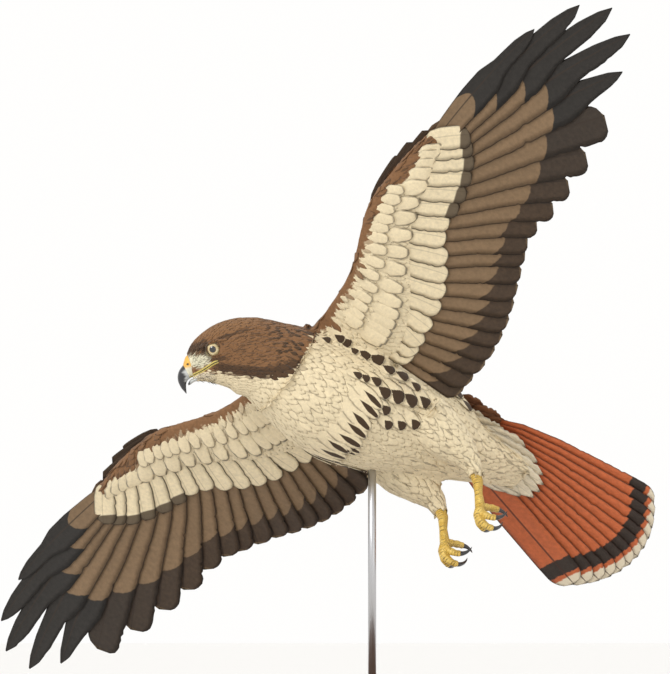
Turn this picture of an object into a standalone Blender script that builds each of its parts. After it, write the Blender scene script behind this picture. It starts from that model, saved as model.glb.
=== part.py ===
"""A red-tailed hawk in banking flight, at life size, on a plain display stand.

The bird is modelled in its own frame: +X runs from tail to bill along the wings' plane, +Y to
the bird's left, +Z to its back, with the origin midway between the shoulder joints. One empty
holds that frame in its climbing turn over the base. The head has a frame of its own, because
the bird keeps it level.
"""

import math

import bmesh
import bpy
from mathutils import Euler, Matrix, Vector

CM = 0.01
GAP = 0.0003

# The flight pose over the middle of the base.
BIRD_AT = Vector((-0.072, -0.012, 0.416))
BIRD_BANK = math.radians(41.12)
BIRD_CLIMB = math.radians(34.12)
BIRD_HEADING = math.radians(-166.56)

# The head's place in the bird's frame, and its own pitch and heading over the ground.
HEAD_AT = Vector((8.0, -1.3, -4.5)) * CM
HEAD_DIP = math.radians(15)
HEAD_HEADING = math.radians(-176)

# The torso's cross-sections: distance forward, half width, half height and height of the middle.
TORSO = ((1.0, 5.6, 5.6, -3.3), (-3.0, 6.4, 6.5, -3.1), (-7.0, 6.8, 6.9, -2.0),
         (-11.0, 6.7, 7.0, -0.1), (-15.0, 5.9, 6.2, 1.4), (-18.0, 5.0, 5.2, 2.2),
         (-20.0, 4.1, 4.2, 2.4))
TORSO_SIDES = 28

# Each ring of the head and bill, in the head's frame: its top point, its bottom point, both as
# forward and up, and its half width.
HEAD = (((4.45, 0.80), (4.45, -2.48), 0.95), ((3.70, 1.65), (3.75, -2.60), 1.35),
        ((2.80, 2.25), (3.00, -2.85), 1.85), ((1.50, 2.82), (2.20, -3.30), 2.30),
        ((0.00, 3.15), (1.50, -3.75), 2.65), ((-1.90, 3.12), (0.90, -4.20), 2.95),
        ((-4.00, 2.60), (0.40, -4.90), 3.20))
CERE = (((4.48, 0.50), (4.48, -1.90), 0.92), ((4.80, 0.12), (4.62, -1.93), 0.90),
        ((5.08, -0.38), (4.72, -1.96), 0.82))
BEAK_UPPER = (((5.12, -0.40), (4.75, -1.98), 0.80), ((5.62, -0.82), (4.98, -2.08), 0.70),
              ((5.93, -1.35), (5.16, -2.28), 0.60), ((6.03, -1.95), (5.28, -2.52), 0.48),
              ((5.90, -2.65), (5.36, -2.85), 0.32), ((5.68, -3.12), (5.42, -3.15), 0.18),
              ((5.53, -3.41), (5.47, -3.41), 0.05))
BEAK_LOWER = (((4.48, -2.02), (4.48, -2.46), 0.70), ((4.80, -2.13), (4.80, -2.60), 0.60),
              ((5.06, -2.42), (5.06, -2.62), 0.25))
HEAD_SIDES = 24

EYE_AT = Vector((1.60, 1.78, 0.42)) * CM
EYE_RADIUS = 0.80 * CM
# The ring of the lids: how far it lies out from the eye's centre, its radius and its thickness.
LID_OUT = 0.48 * CM
LID_RADIUS = 0.69 * CM
LID_THICKNESS = 0.10 * CM
NOSTRIL_AT = Vector((4.60, 0.93, -0.42)) * CM
NOSTRIL_RADIUS = 0.12 * CM

# The wing's frame has its origin in the shoulder joint. Its points are forward and outward.
SHOULDER_OUT = 4.0 * CM
WING_ROOT_OUT = 3.0 * CM
DIHEDRAL = {1: math.radians(3.0), -1: math.radians(1.8)}
HAND_TWIST = 0.30
WING_LEADING = ((2.2, 3.0), (3.2, 9.2), (5.3, 14.4), (6.5, 17.5), (6.9, 21.3), (6.9, 25.2),
                (6.6, 29.6))
WING_REAR = ((-7.4, 3.0), (-5.4, 9.2), (-2.0, 14.4), (0.2, 17.5), (2.0, 21.3), (3.6, 25.2),
             (4.9, 29.6))
WING_THICKNESS = (2.6, 2.2, 1.9, 1.8, 1.6, 1.45, 1.15)
PRIMARY_TIPS = ((5.8, 48.1), (4.1, 54.3), (1.5, 57.0), (-1.6, 56.3), (-3.6, 52.3),
                (-5.3, 46.8), (-6.5, 41.5), (-7.3, 36.9), (-7.9, 32.9), (-8.1, 29.3))
SECONDARY_TIPS = ((-8.8, 26.4), (-11.2, 21.2), (-13.4, 16.1), (-14.7, 10.7), (-15.0, 4.9))
SECONDARY_COUNT = 11
PRIMARY_WIDTHS = (2.9, 3.7, 4.0, 4.1, 4.2, 4.2, 4.1, 4.0, 3.9, 3.8)
SECONDARY_WIDTH = 3.7
FINGER_FROM = (0.58, 0.54, 0.58, 0.64, 0.72)
UNDER_COVERT_TIPS = ((3.4, 33.0), (1.2, 30.6), (-0.8, 26.0), (-1.7, 21.3), (-4.7, 17.3),
                     (-6.9, 13.1), (-8.2, 7.4), (-8.6, 4.7))
UPPER_COVERT_TIPS = ((3.6, 35.5), (1.2, 32.5), (-1.6, 28.0), (-3.6, 23.0), (-6.4, 18.0),
                     (-8.0, 13.0), (-9.0, 7.4), (-9.2, 4.7))
COVERT_COUNT = 16
COVERT_WIDTH = 2.7
COVERT_LIFT = 0.40
ALULA_TIPS = ((6.6, 29.0), (7.0, 26.4), (7.0, 24.0))

# A vane's outline: how far along it, and its width there as a share of its full width.
BROAD_VANE = ((0.0, 0.45), (0.15, 0.8), (0.4, 1.0), (0.75, 1.0), (0.93, 0.85), (1.0, 0.35))
SHORT_VANE = ((0.0, 0.6), (0.4, 1.0), (0.8, 0.95), (1.0, 0.4))
# Each vane rises by this much over the next one in from it, and is thinner than that.
VANE_STEP = 0.125 * CM
VANE_THICKNESS = 0.075 * CM

TAIL_APEX = Vector((-8.4, 0.0, 6.9)) * CM
TAIL_RISE = math.radians(-4.5)
TAIL_SPREAD = math.radians(13.9)
TAIL_LENGTH = 34.7 * CM
TAIL_ROUNDING = 0.055
RECTRIX_COUNT = 12
RECTRIX_WIDTH = 4.8
TAIL_ROOT = 14.0 * CM
TAIL_CORE_LENGTH = 8.0 * CM
TAIL_CORE_END = 5.0 * CM
TAIL_COVERT_COUNT = 7
TAIL_COVERT_ROOT = 12.5 * CM
TAIL_COVERT_SPREAD = math.radians(12)
TAIL_COVERT_ROUNDING = 0.2
# The reach of the tail coverts below and above, and their lifts at root and tip, in centimetres.
TAIL_COVERTS = ((22.2, -1.5, -0.65), (21.0, 0.2, 0.65))

# Each toe's length, spread to the side, first angle from the shank, curl, its claw's curl, radius.
TOES = ((3.0, 0.42, 30, 140, 62, 0.46), (3.7, 0.0, 35, 150, 62, 0.48),
        (3.0, -0.42, 30, 140, 62, 0.44), (2.3, 0.1, -108, -28, -85, 0.47))

BASE_RADIUS = 0.17
BASE_HEIGHT = 0.022
ROD_RADIUS = 0.0045

COLOURS = {
    "cream": (0.80, 0.70, 0.52), "brown": (0.19, 0.10, 0.055), "dark": (0.05, 0.035, 0.028),
    "rufous": (0.56, 0.13, 0.04), "yellow": (0.75, 0.47, 0.08), "horn": (0.02, 0.02, 0.022),
    "iris": (0.83, 0.72, 0.42), "steel": (0.55, 0.55, 0.56), "wood": (0.10, 0.055, 0.03),
}


def clear_scene():
    for obj in list(bpy.data.objects):
        bpy.data.objects.remove(obj)


def material(colour, roughness=0.7, metallic=0.0):
    made = bpy.data.materials.get(colour) or bpy.data.materials.new(colour)
    made.use_nodes = True
    shader = made.node_tree.nodes["Principled BSDF"]
    shader.inputs["Base Color"].default_value = (*COLOURS[colour], 1.0)
    shader.inputs["Roughness"].default_value = roughness
    shader.inputs["Metallic"].default_value = metallic
    return made


def add_object(name, bm, finish=None):
    bmesh.ops.recalc_face_normals(bm, faces=bm.faces[:])
    mesh = bpy.data.meshes.new(name)
    bm.to_mesh(mesh)
    bm.free()
    obj = bpy.data.objects.new(name, mesh)
    bpy.context.scene.collection.objects.link(obj)
    if finish:
        mesh.materials.append(finish)
        mesh.shade_smooth()
    return obj


def curve_through(points, share):
    """A smooth curve's point at this share of the way through the points."""
    last = len(points) - 1
    place = min(max(share, 0.0), 1.0) * last
    index = min(int(place), last - 1)
    t = place - index
    p0, p1, p2, p3 = (Vector(points[min(max(index + k, 0), last)]) for k in (-1, 0, 1, 2))
    return 0.5 * (2 * p1 + (p2 - p0) * t + (2 * p0 - 5 * p1 + 4 * p2 - p3) * t ** 2
                  + (3 * p1 - p0 - 3 * p2 + p3) * t ** 3)


def value_at(points, out):
    """The forward value of a wing outline at this distance outward, between its points."""
    for (a0, b0), (a1, b1) in zip(points, points[1:]):
        if out <= b1 or (a1, b1) == points[-1]:
            return a0 + (a1 - a0) * min(max((out - b0) / (b1 - b0), 0.0), 1.0)
    return points[-1][0]


def ellipse(centre, across, up, sides, turn=0.0):
    angles = [turn + 2 * math.pi * k / sides for k in range(sides)]
    return [centre + across * math.sin(a) + up * math.cos(a) for a in angles]


def loft(rings):
    """A closed tube through rings of equal count, each extruded from the one before."""
    bm = bmesh.new()
    start = [bm.verts.new(point) for point in rings[0]]
    face = bm.faces.new(start)
    for points in rings[1:]:
        face = bmesh.ops.extrude_discrete_faces(bm, faces=[face])["faces"][0]
        for vert, point in zip(face.verts, points):
            vert.co = point
    bm.faces.new(start[::-1])
    return bm


def slab(rows, lift):
    """A thin closed piece over rows of points, split into triangles alike on both faces."""
    bm = bmesh.new()
    grid = [[bm.verts.new(point) for point in row] for row in rows]
    for near, far in zip(grid, grid[1:]):
        for a, b, c, d in zip(near, near[1:], far[1:], far):
            bm.faces.new((a, b, c))
            bm.faces.new((a, c, d))
    kept = bm.faces[:]
    made = bmesh.ops.extrude_face_region(bm, geom=kept, use_keep_orig=True)["geom"]
    moved = [item for item in made if isinstance(item, bmesh.types.BMVert)]
    bmesh.ops.translate(bm, verts=moved, vec=lift)
    return bm


def apply_modifiers(obj):
    graph = bpy.context.evaluated_depsgraph_get()
    mesh = bpy.data.meshes.new_from_object(obj.evaluated_get(graph))
    obj.modifiers.clear()
    obj.data = mesh


def keep_largest(obj):
    """Leaves only the largest closed surface of the object's mesh."""
    bm = bmesh.new()
    bm.from_mesh(obj.data)
    left = set(bm.faces)
    shells = []
    while left:
        shell = set()
        front = [left.pop()]
        while front:
            face = front.pop()
            shell.add(face)
            near = {other for edge in face.edges for other in edge.link_faces} & left
            left -= near
            front.extend(near)
        shells.append(shell)
    largest = max(shells, key=lambda shell: sum(face.calc_area() for face in shell))
    spare = [face for face in bm.faces if face not in largest]
    bmesh.ops.delete(bm, geom=spare, context="FACES")
    bm.to_mesh(obj.data)
    bm.free()


def fuse(core, pieces, solver="EXACT"):
    """Joins the pieces to the core as one closed body."""
    group = bpy.data.collections.new(core.name + "_pieces")
    bpy.context.scene.collection.children.link(group)
    for piece in pieces:
        group.objects.link(piece)
    union = core.modifiers.new("Union", "BOOLEAN")
    union.operation = "UNION"
    union.operand_type = "COLLECTION"
    union.collection = group
    union.solver = solver
    apply_modifiers(core)
    for piece in pieces:
        bpy.data.objects.remove(piece)
    bpy.data.collections.remove(group)
    keep_largest(core)
    return core


def cut_clear(obj, *neighbours):
    """Cuts the object back from its neighbours' surfaces by the gap."""
    for neighbour in neighbours:
        bm = bmesh.new()
        bm.from_mesh(neighbour.data)
        for vert in bm.verts:
            vert.co += vert.normal * GAP * 1.2
        cutter = add_object("cutter", bm)
        cut = obj.modifiers.new("Clearance", "BOOLEAN")
        cut.operation = "DIFFERENCE"
        cut.object = cutter
        apply_modifiers(obj)
        bpy.data.objects.remove(cutter)
    keep_largest(obj)
    return obj


def bird_matrix():
    turn = Euler((BIRD_BANK, -BIRD_CLIMB, BIRD_HEADING)).to_matrix().to_4x4()
    return Matrix.Translation(BIRD_AT) @ turn


def head_matrix():
    turn = Euler((0.0, HEAD_DIP, HEAD_HEADING)).to_matrix().to_4x4()
    return Matrix.Translation(bird_matrix() @ HEAD_AT) @ turn


def frame_empty(name, matrix):
    empty = bpy.data.objects.new(name, None)
    bpy.context.scene.collection.objects.link(empty)
    empty.matrix_world = matrix
    return empty


def torso_section(forward):
    """Half width, half height and middle height of the torso at this distance forward."""
    span = TORSO[0][0] - TORSO[-1][0]
    share = (TORSO[0][0] - forward / CM) / span
    samples = [curve_through(TORSO, k / 120) for k in range(121)]
    nearest = min(samples, key=lambda row: abs(row[0] - (TORSO[0][0] - share * span)))
    return nearest[1] * CM, nearest[2] * CM, nearest[3] * CM


def torso_ring(forward, turn=0.0):
    width, height, middle = torso_section(forward)
    centre = Vector((forward, 0.0, middle))
    return ellipse(centre, Vector((0, width, 0)), Vector((0, 0, height)), TORSO_SIDES, turn)


def wing_point(side, forward, out, lift=0.0):
    """A point of the wing's surface, in the bird's frame, from its forward and outward places."""
    twist = HAND_TWIST * min(max((out - 20 * CM) / (25 * CM), 0.0), 1.0)
    rise = math.tan(DIHEDRAL[side]) * out + twist * (forward - 2.0 * CM)
    swell = 0.8 * CM * math.exp(-((out - 25 * CM) / (9 * CM)) ** 2)
    return Vector((forward, side * (SHOULDER_OUT + out), rise + swell + lift))


def wing_ring(side, share, out=None):
    """One cross-section of the wing's arm, round in front and blunt behind."""
    lead = curve_through(WING_LEADING, share) * CM
    rear = curve_through(WING_REAR, share) * CM
    place = share * (len(WING_THICKNESS) - 1)
    index = min(int(place), len(WING_THICKNESS) - 2)
    step = place - index
    thick = WING_THICKNESS[index] * (1 - step) + WING_THICKNESS[index + 1] * step
    half = 0.5 * thick * CM
    out = lead.y if out is None else out
    top = [(0.02, 0.35), (0.12, 0.8), (0.35, 1.0), (0.65, 0.95), (0.88, 0.8), (1.0, 0.5)]
    ring = []
    for chord, height in top:
        ring.append(wing_point(side, lead.x + (rear.x - lead.x) * chord, out, half * height))
    for chord, height in reversed(top):
        ring.append(wing_point(side, lead.x + (rear.x - lead.x) * chord, out, -half * height))
    return ring


def wing_core(name, side, finish):
    rings = [wing_ring(side, k / 12) for k in range(13)]
    last = rings[-1]
    middle = sum(last, Vector()) / len(last)
    rings.append([middle + (p - middle) * 0.6 + Vector((0, side * 0.5 * CM, 0)) for p in last])
    return add_object(name, loft(rings), finish)


def make_torso(finish):
    rings = [torso_ring(TORSO[0][0] * CM + (TORSO[-1][0] - TORSO[0][0]) * CM * k / 16)
             for k in range(17)]
    torso = add_object("torso", loft(rings), finish)
    stubs = []
    for side in (1, -1):
        outer = wing_ring(side, 0.0, WING_ROOT_OUT - GAP)
        inner = [Vector((p.x, side * 1.5 * CM, p.z)) for p in outer]
        stubs.append(add_object("stub", loft([inner, outer])))
    return fuse(torso, stubs)


def head_ring(row, sides=HEAD_SIDES):
    (top_x, top_z), (low_x, low_z), width = row
    top = Vector((top_x, 0, top_z)) * CM
    low = Vector((low_x, 0, low_z)) * CM
    return ellipse((top + low) / 2, Vector((0, width * CM, 0)), (top - low) / 2, sides)


def row_at(rows, share):
    flat = [(*top, *low, width) for top, low, width in rows]
    top_x, top_z, low_x, low_z, width = curve_through(flat, share)
    return (top_x, top_z), (low_x, low_z), width


def head_loft(rows, count, sides=HEAD_SIDES):
    return loft([head_ring(row_at(rows, k / (count - 1)), sides) for k in range(count)])


def ball(centre, radius, u=16, v=10, stretch=(1, 1, 1)):
    bm = bmesh.new()
    bmesh.ops.create_uvsphere(bm, u_segments=u, v_segments=v, radius=radius)
    bmesh.ops.scale(bm, verts=bm.verts[:], vec=stretch)
    bmesh.ops.translate(bm, verts=bm.verts[:], vec=centre)
    return bm


def tube(path, radii, sides=8):
    """A closed round tube along the path, with a radius for each of its points."""
    rings = []
    across = None
    for k, (point, radius) in enumerate(zip(path, radii)):
        ahead = (path[min(k + 1, len(path) - 1)] - path[max(k - 1, 0)]).normalized()
        if across is None:
            across = ahead.orthogonal().normalized()
        across = (across - ahead * across.dot(ahead)).normalized()
        rings.append(ellipse(point, across * radius, ahead.cross(across) * radius, sides))
    return loft(rings)


def lid_ring(side, steps=14, sides=5):
    """A closed ring round the eye, which lies in a plane across its gaze."""
    centre = Vector((EYE_AT.x, side * (EYE_AT.y + LID_OUT), EYE_AT.z))
    bm = bmesh.new()
    loops = []
    for k in range(steps):
        angle = 2 * math.pi * k / steps
        out = Vector((math.cos(angle), 0, math.sin(angle)))
        points = ellipse(centre + out * LID_RADIUS, out * LID_THICKNESS,
                         Vector((0, LID_THICKNESS, 0)), sides)
        verts = [bm.verts.new(point) for point in points]
        loops.append([bm.edges.new((verts[n], verts[(n + 1) % sides])) for n in range(sides)])
    for k in range(steps):
        bmesh.ops.bridge_loops(bm, edges=loops[k] + loops[(k + 1) % steps])
    bmesh.ops.recalc_face_normals(bm, faces=bm.faces[:])
    return bm


def make_head(finish):
    head = add_object("head", head_loft(HEAD, 14), finish)
    brows = []
    for side in (1, -1):
        path = [Vector((x, side * y, z)) * CM for x, y, z in
                ((3.3, 1.25, 0.95), (2.5, 1.85, 1.02), (1.4, 2.22, 1.12), (0.2, 2.3, 1.05))]
        brows.append(add_object("brow", tube(path, [0.2 * CM, 0.3 * CM, 0.32 * CM, 0.2 * CM])))
        gape = [Vector((x, side * y, z)) * CM for x, y, z in
                ((0.9, 2.2, -1.35), (2.2, 1.98, -1.55), (3.5, 1.35, -1.8), (4.3, 0.9, -1.95))]
        brows.append(add_object("gape", tube(gape, [0.1 * CM, 0.16 * CM, 0.16 * CM, 0.12 * CM])))
    lids = [add_object("lids", lid_ring(side)) for side in (1, -1)]
    return fuse(head, brows + lids)


def make_cere(finish):
    """The cere, with a nostril sunk in each side."""
    cere = add_object("cere", head_loft(CERE, 4), finish)
    nostrils = []
    for side in (1, -1):
        at = Vector((NOSTRIL_AT.x, side * NOSTRIL_AT.y, NOSTRIL_AT.z))
        nostrils.append(add_object("nostril", ball(at, NOSTRIL_RADIUS, 8, 5)))
    cut_clear(cere, *nostrils)
    for nostril in nostrils:
        bpy.data.objects.remove(nostril)
    return cere


def make_eye(name, side, finish):
    at = Vector((EYE_AT.x, side * EYE_AT.y, EYE_AT.z))
    return add_object(name, ball(at, EYE_RADIUS, 14, 9), finish)


def make_neck(finish, to_bird):
    """The neck runs from the torso's front ring to the ring behind the head."""
    (top, low, width) = HEAD[-1]
    back = [to_bird @ point for point in head_ring((top, low, width), TORSO_SIDES)]
    centre = sum(back, Vector()) / len(back)
    sideways = (back[TORSO_SIDES // 4] - centre)
    upward = back[0] - centre
    inward = upward.cross(sideways).normalized()
    if inward.x > 0:
        inward = -inward
    back = [point + inward * GAP for point in back]
    turn = math.atan2(upward.y, upward.z)
    front = torso_ring(TORSO[0][0] * CM, turn)
    front = [point + Vector((GAP, 0, 0)) for point in front]
    best = min(range(TORSO_SIDES), key=lambda k: sum(
        (front[(n + k) % TORSO_SIDES] - back[n]).length for n in range(TORSO_SIDES)))
    front = [front[(n + best) % TORSO_SIDES] for n in range(TORSO_SIDES)]
    reach = 4.5 * CM
    rings = []
    steps = 7
    for k in range(steps + 1):
        t = k / steps
        h00 = 2 * t ** 3 - 3 * t ** 2 + 1
        h10 = t ** 3 - 2 * t ** 2 + t
        h01 = 1 - h00
        h11 = t ** 3 - t ** 2
        rings.append([a * h00 + Vector((reach, 0, 0)) * h10 + b * h01 - inward * reach * h11
                      for a, b in zip(front, back)])
    return add_object("neck", loft(rings), finish)


def finger_vane(start):
    """The outline of a primary that narrows to a finger from this share of its length."""
    return ((0.0, 0.4), (0.15, 0.8), (0.4, 1.0), (start, 0.98), (start + 0.09, 0.62),
            (0.92, 0.44), (1.0, 0.06))


def vane(place, root, tip, width, outline, steps, lifts, lead=0.38, bow=0.02):
    """One feather's vane as a thin closed piece, tilted so that it clears the next ones.

    place turns two coordinates and a lift into a point, steps are the distances to the next
    feather at root and tip, and lifts are the heights of the shaft there.
    """
    along = tip - root
    ahead = Vector((along.y, -along.x)).normalized()
    rows = []
    for share, full in outline:
        shaft = root + along * share + ahead * (bow * along.length * 4 * share * (1 - share))
        slope = VANE_STEP / max(steps[0] + (steps[1] - steps[0]) * share, 0.4 * CM)
        lift = lifts[0] + (lifts[1] - lifts[0]) * share
        row = []
        for offset in (-(1 - lead) * width * full, lead * width * full):
            spot = shaft + ahead * offset
            row.append(place(spot.x, spot.y, lift + slope * offset))
        rows.append(row)
    return add_object("vane", slab(rows, Vector((0, 0, -VANE_THICKNESS))))


def steps_between(feathers):
    """For each feather, the distances across to its neighbour at the root and at the tip."""
    steps = []
    for index, (root, tip) in enumerate(feathers):
        other = feathers[index + 1] if index + 1 < len(feathers) else feathers[index - 1]
        way = (tip - root).normalized()
        across = Vector((way.y, -way.x))
        steps.append((abs((other[0] - root).dot(across)), abs((other[1] - tip).dot(across))))
    return steps


def flight_feathers():
    """Root and tip of each flight feather of a wing, from the outermost primary inward."""
    feathers = []
    for k, (forward, out) in enumerate(PRIMARY_TIPS):
        root_out = 28.4 - 10.6 * k / (len(PRIMARY_TIPS) - 1)
        root = Vector((value_at(WING_REAR, root_out) + 1.0, root_out))
        feathers.append((root * CM, Vector((forward, out)) * CM))
    for k in range(SECONDARY_COUNT):
        share = k / (SECONDARY_COUNT - 1)
        root_out = 16.6 - 11.8 * share
        root = Vector((value_at(WING_REAR, root_out) + 1.0, root_out))
        feathers.append((root * CM, curve_through(SECONDARY_TIPS, share) * CM))
    return feathers


def covert_feathers(tips):
    """Root and tip of each greater covert of a wing's one side, from the hand inward."""
    feathers = []
    for k in range(COVERT_COUNT):
        share = k / (COVERT_COUNT - 1)
        root_out = 28.8 - 24.0 * share
        root = Vector((value_at(WING_REAR, root_out) + 1.7, root_out))
        feathers.append((root * CM, curve_through(tips, share) * CM))
    return feathers


def make_wing(name, side, finish):
    core = wing_core(name, side, finish)

    def place(forward, out, lift):
        return wing_point(side, forward, max(out, WING_ROOT_OUT + 0.1 * CM), lift)

    pieces = []
    flight = flight_feathers()
    for index, ((root, tip), steps) in enumerate(zip(flight, steps_between(flight))):
        fingered = index < len(FINGER_FROM)
        outline = finger_vane(FINGER_FROM[index]) if fingered else BROAD_VANE
        primary = index < len(PRIMARY_WIDTHS)
        width = (PRIMARY_WIDTHS[index] if primary else SECONDARY_WIDTH) * CM
        pieces.append(vane(place, root, tip, width, outline, steps, (0.0, 0.0)))
    for tips, lift in ((UNDER_COVERT_TIPS, -COVERT_LIFT), (UPPER_COVERT_TIPS, COVERT_LIFT)):
        coverts = covert_feathers(tips)
        for (root, tip), steps in zip(coverts, steps_between(coverts)):
            pieces.append(vane(place, root, tip, COVERT_WIDTH * CM, SHORT_VANE, steps,
                               (lift * CM, lift * CM)))
    for index, (forward, out) in enumerate(ALULA_TIPS):
        root = Vector((5.5 + 0.3 * index, 18.4 - 0.4 * index)) * CM
        tip = Vector((forward, out)) * CM
        lifts = ((0.45 + 0.13 * index) * CM, (0.80 + 0.13 * index) * CM)
        pieces.append(vane(place, root, tip, 1.5 * CM, SHORT_VANE, (9 * CM, 9 * CM), lifts))
    return fuse(core, pieces)


def tail_point(forward, across, lift=0.0):
    """A point of the fanned tail's plane, from its distance along and across from the apex."""
    turn = Matrix.Rotation(TAIL_RISE, 4, "Y")
    return TAIL_APEX + turn @ Vector((-forward, across, lift))


def make_tail(finish):
    width, height, middle = torso_section(TORSO[-1][0] * CM)
    start = TORSO[-1][0] * CM - GAP
    rings = []
    for k in range(6):
        t = k / 5
        forward = start - TAIL_CORE_LENGTH * t
        centre = Vector((forward, 0, middle * (1 - t) + TAIL_CORE_END * t))
        shrink = 1 - 0.75 * t ** 0.9
        rings.append(ellipse(centre, Vector((0, width * (1 - 0.45 * t), 0)),
                             Vector((0, 0, height * shrink)), TORSO_SIDES))
    core = add_object("tail", loft(rings), finish)
    pieces = []
    fan = []
    for k in range(RECTRIX_COUNT):
        angle = TAIL_SPREAD * (2 * k / (RECTRIX_COUNT - 1) - 1)
        way = Vector((math.cos(angle), math.sin(angle)))
        shorter = 1 - TAIL_ROUNDING * (angle / TAIL_SPREAD) ** 2
        fan.append((way * TAIL_ROOT, way * TAIL_LENGTH * shorter))
    for (root, tip), steps in zip(fan, steps_between(fan)):
        pieces.append(vane(tail_point, root, tip, RECTRIX_WIDTH * CM, BROAD_VANE, steps,
                           (0.0, 0.0), 0.5, 0.0))
    for reach, root_lift, tip_lift in TAIL_COVERTS:
        coverts = []
        for k in range(TAIL_COVERT_COUNT):
            angle = TAIL_COVERT_SPREAD * (2 * k / (TAIL_COVERT_COUNT - 1) - 1)
            way = Vector((math.cos(angle), math.sin(angle)))
            shorter = 1 - TAIL_COVERT_ROUNDING * (angle / TAIL_COVERT_SPREAD) ** 2
            tip = way * reach * CM * shorter
            coverts.append((way * TAIL_COVERT_ROOT, tip))
        for (root, tip), steps in zip(coverts, steps_between(coverts)):
            pieces.append(vane(tail_point, root, tip, 3.4 * CM, SHORT_VANE, steps,
                               (root_lift * CM, tip_lift * CM), 0.5, 0.0))
    return fuse(core, pieces)


def make_leg_parts(side, feather, skin, horn, torso, tail):
    label = "left" if side > 0 else "right"
    spots = ((-13.5, 3.6, -1.0, 3.4), (-16.5, 3.8, -1.6, 3.0), (-19.0, 3.75, -2.0, 2.2),
             (-20.9, 3.6, -2.7, 1.45), (-21.8, 3.5, -3.9, 1.05))
    path = [Vector((a, side * b, h)) * CM for a, b, h, r in spots]
    thigh = add_object("thigh_" + label, tube(path, [r * CM for a, b, h, r in spots], 20), feather)
    cut_clear(thigh, torso, tail)
    down = (path[-1] - path[-2]).normalized()
    hock = path[-1] + down * GAP
    ball_of_foot = Vector((-23.5, side * 3.5, -7.75)) * CM
    shank = (ball_of_foot - hock).normalized()
    ahead = Vector((0, side, 0)).cross(shank) * side
    if ahead.x < 0:
        ahead = -ahead
    leg = [hock, hock + down * 0.4 * CM, hock.lerp(ball_of_foot, 0.5), ball_of_foot]
    foot = add_object("foot_" + label,
                      tube(leg, [0.62 * CM, 0.6 * CM, 0.46 * CM, 0.62 * CM], 12), skin)
    toes = []
    claws = []
    for toe, (length, spread, first, curl, claw_curl, radius) in enumerate(TOES):
        point = ball_of_foot - shank * 0.25 * CM
        aside = Vector((0, 1, 0)) * spread
        points = [point]
        angle = math.radians(first)
        steps = 7
        for _ in range(steps):
            point = point + (shank * math.cos(angle) + ahead * math.sin(angle)
                             + aside).normalized() * length * CM / steps
            angle -= math.radians(curl) / steps
            points.append(point)
        radii = [radius * CM * (1 - 0.25 * k / steps) for k in range(steps + 1)]
        toes.append(add_object("toe", tube(points, radii, 9)))
        way = (points[-1] - points[-2]).normalized()
        point = points[-1] + way * GAP
        claw = [point, point + way * 0.1 * CM]
        point = claw[-1]
        claw_steps = 6
        for _ in range(claw_steps - 1):
            way = (shank * math.cos(angle) + ahead * math.sin(angle) + aside * 0.8).normalized()
            point = point + way * length * 0.62 * CM / claw_steps
            angle -= math.radians(claw_curl) / claw_steps
            claw.append(point)
        taper = [0.29 * CM * (1 - k / claw_steps) ** 0.8 + 0.02 * CM for k in range(claw_steps + 1)]
        claws.append(add_object("claw_%s_%d" % (label, toe + 1), tube(claw, taper, 8), horn))
    fuse(foot, toes)
    return [thigh, foot, *claws]


def make_base(finish):
    bm = bmesh.new()
    bmesh.ops.create_cone(bm, cap_ends=True, segments=64, radius1=BASE_RADIUS,
                          radius2=BASE_RADIUS, depth=BASE_HEIGHT)
    bmesh.ops.translate(bm, verts=bm.verts[:], vec=(0, 0, BASE_HEIGHT / 2))
    rim = [edge for edge in bm.edges if all(v.co.z > BASE_HEIGHT * 0.9 for v in edge.verts)]
    bmesh.ops.bevel(bm, geom=rim, offset=0.005, offset_type="OFFSET", segments=3,
                    affect="EDGES", profile=0.5, material=-1)
    return add_object("stand_base", bm, finish)


def make_rod(finish, torso):
    top = BIRD_AT.z
    bottom = BASE_HEIGHT + GAP
    bm = bmesh.new()
    bmesh.ops.create_cone(bm, cap_ends=True, segments=24, radius1=ROD_RADIUS,
                          radius2=ROD_RADIUS, depth=top - bottom)
    bmesh.ops.translate(bm, verts=bm.verts[:], vec=(0, 0, (top + bottom) / 2))
    bmesh.ops.transform(bm, matrix=bird_matrix().inverted(), verts=bm.verts[:])
    rod = add_object("stand_rod", bm, finish)
    return cut_clear(rod, torso)


def main():
    clear_scene()
    bird = frame_empty("bird", bird_matrix())
    skull = frame_empty("skull", head_matrix())
    bpy.context.view_layer.update()
    to_bird = bird_matrix().inverted() @ head_matrix()

    cream = material("cream", 0.85)
    brown = material("brown", 0.75)
    yellow = material("yellow", 0.5)
    horn = material("horn", 0.3)

    torso = make_torso(cream)
    neck = cut_clear(make_neck(brown, to_bird), torso)
    tail = make_tail(material("rufous", 0.7))
    on_bird = [torso, neck, tail]
    for side, label in ((1, "left"), (-1, "right")):
        on_bird.append(make_wing("wing_" + label, side, brown))
        on_bird.extend(make_leg_parts(side, cream, yellow, horn, torso, tail))
    on_bird.append(make_rod(material("steel", 0.3, 1.0), torso))
    for obj in on_bird:
        obj.parent = bird

    head = make_head(brown)
    eyes = [make_eye("eye_" + label, side, material("iris", 0.15))
            for side, label in ((1, "left"), (-1, "right"))]
    cut_clear(head, *eyes)
    bill = [make_cere(yellow),
            add_object("beak_upper", head_loft(BEAK_UPPER, 12, 16), horn),
            add_object("beak_lower", head_loft(BEAK_LOWER, 5, 16), horn)]
    for obj in [head, *eyes, *bill]:
        obj.parent = skull

    make_base(material("wood", 0.4))


main()
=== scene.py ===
"""The looks of a red-tailed hawk in banking flight: skin, plumage, head, feet, stand and studio.

The bird is dressed in its own frame, as the solids are: +X from tail to bill along the wings'
plane, +Y to the bird's left, +Z to its back, with the origin midway between the shoulders.
"""

import math
from collections import defaultdict
from functools import partial
from itertools import product

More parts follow.
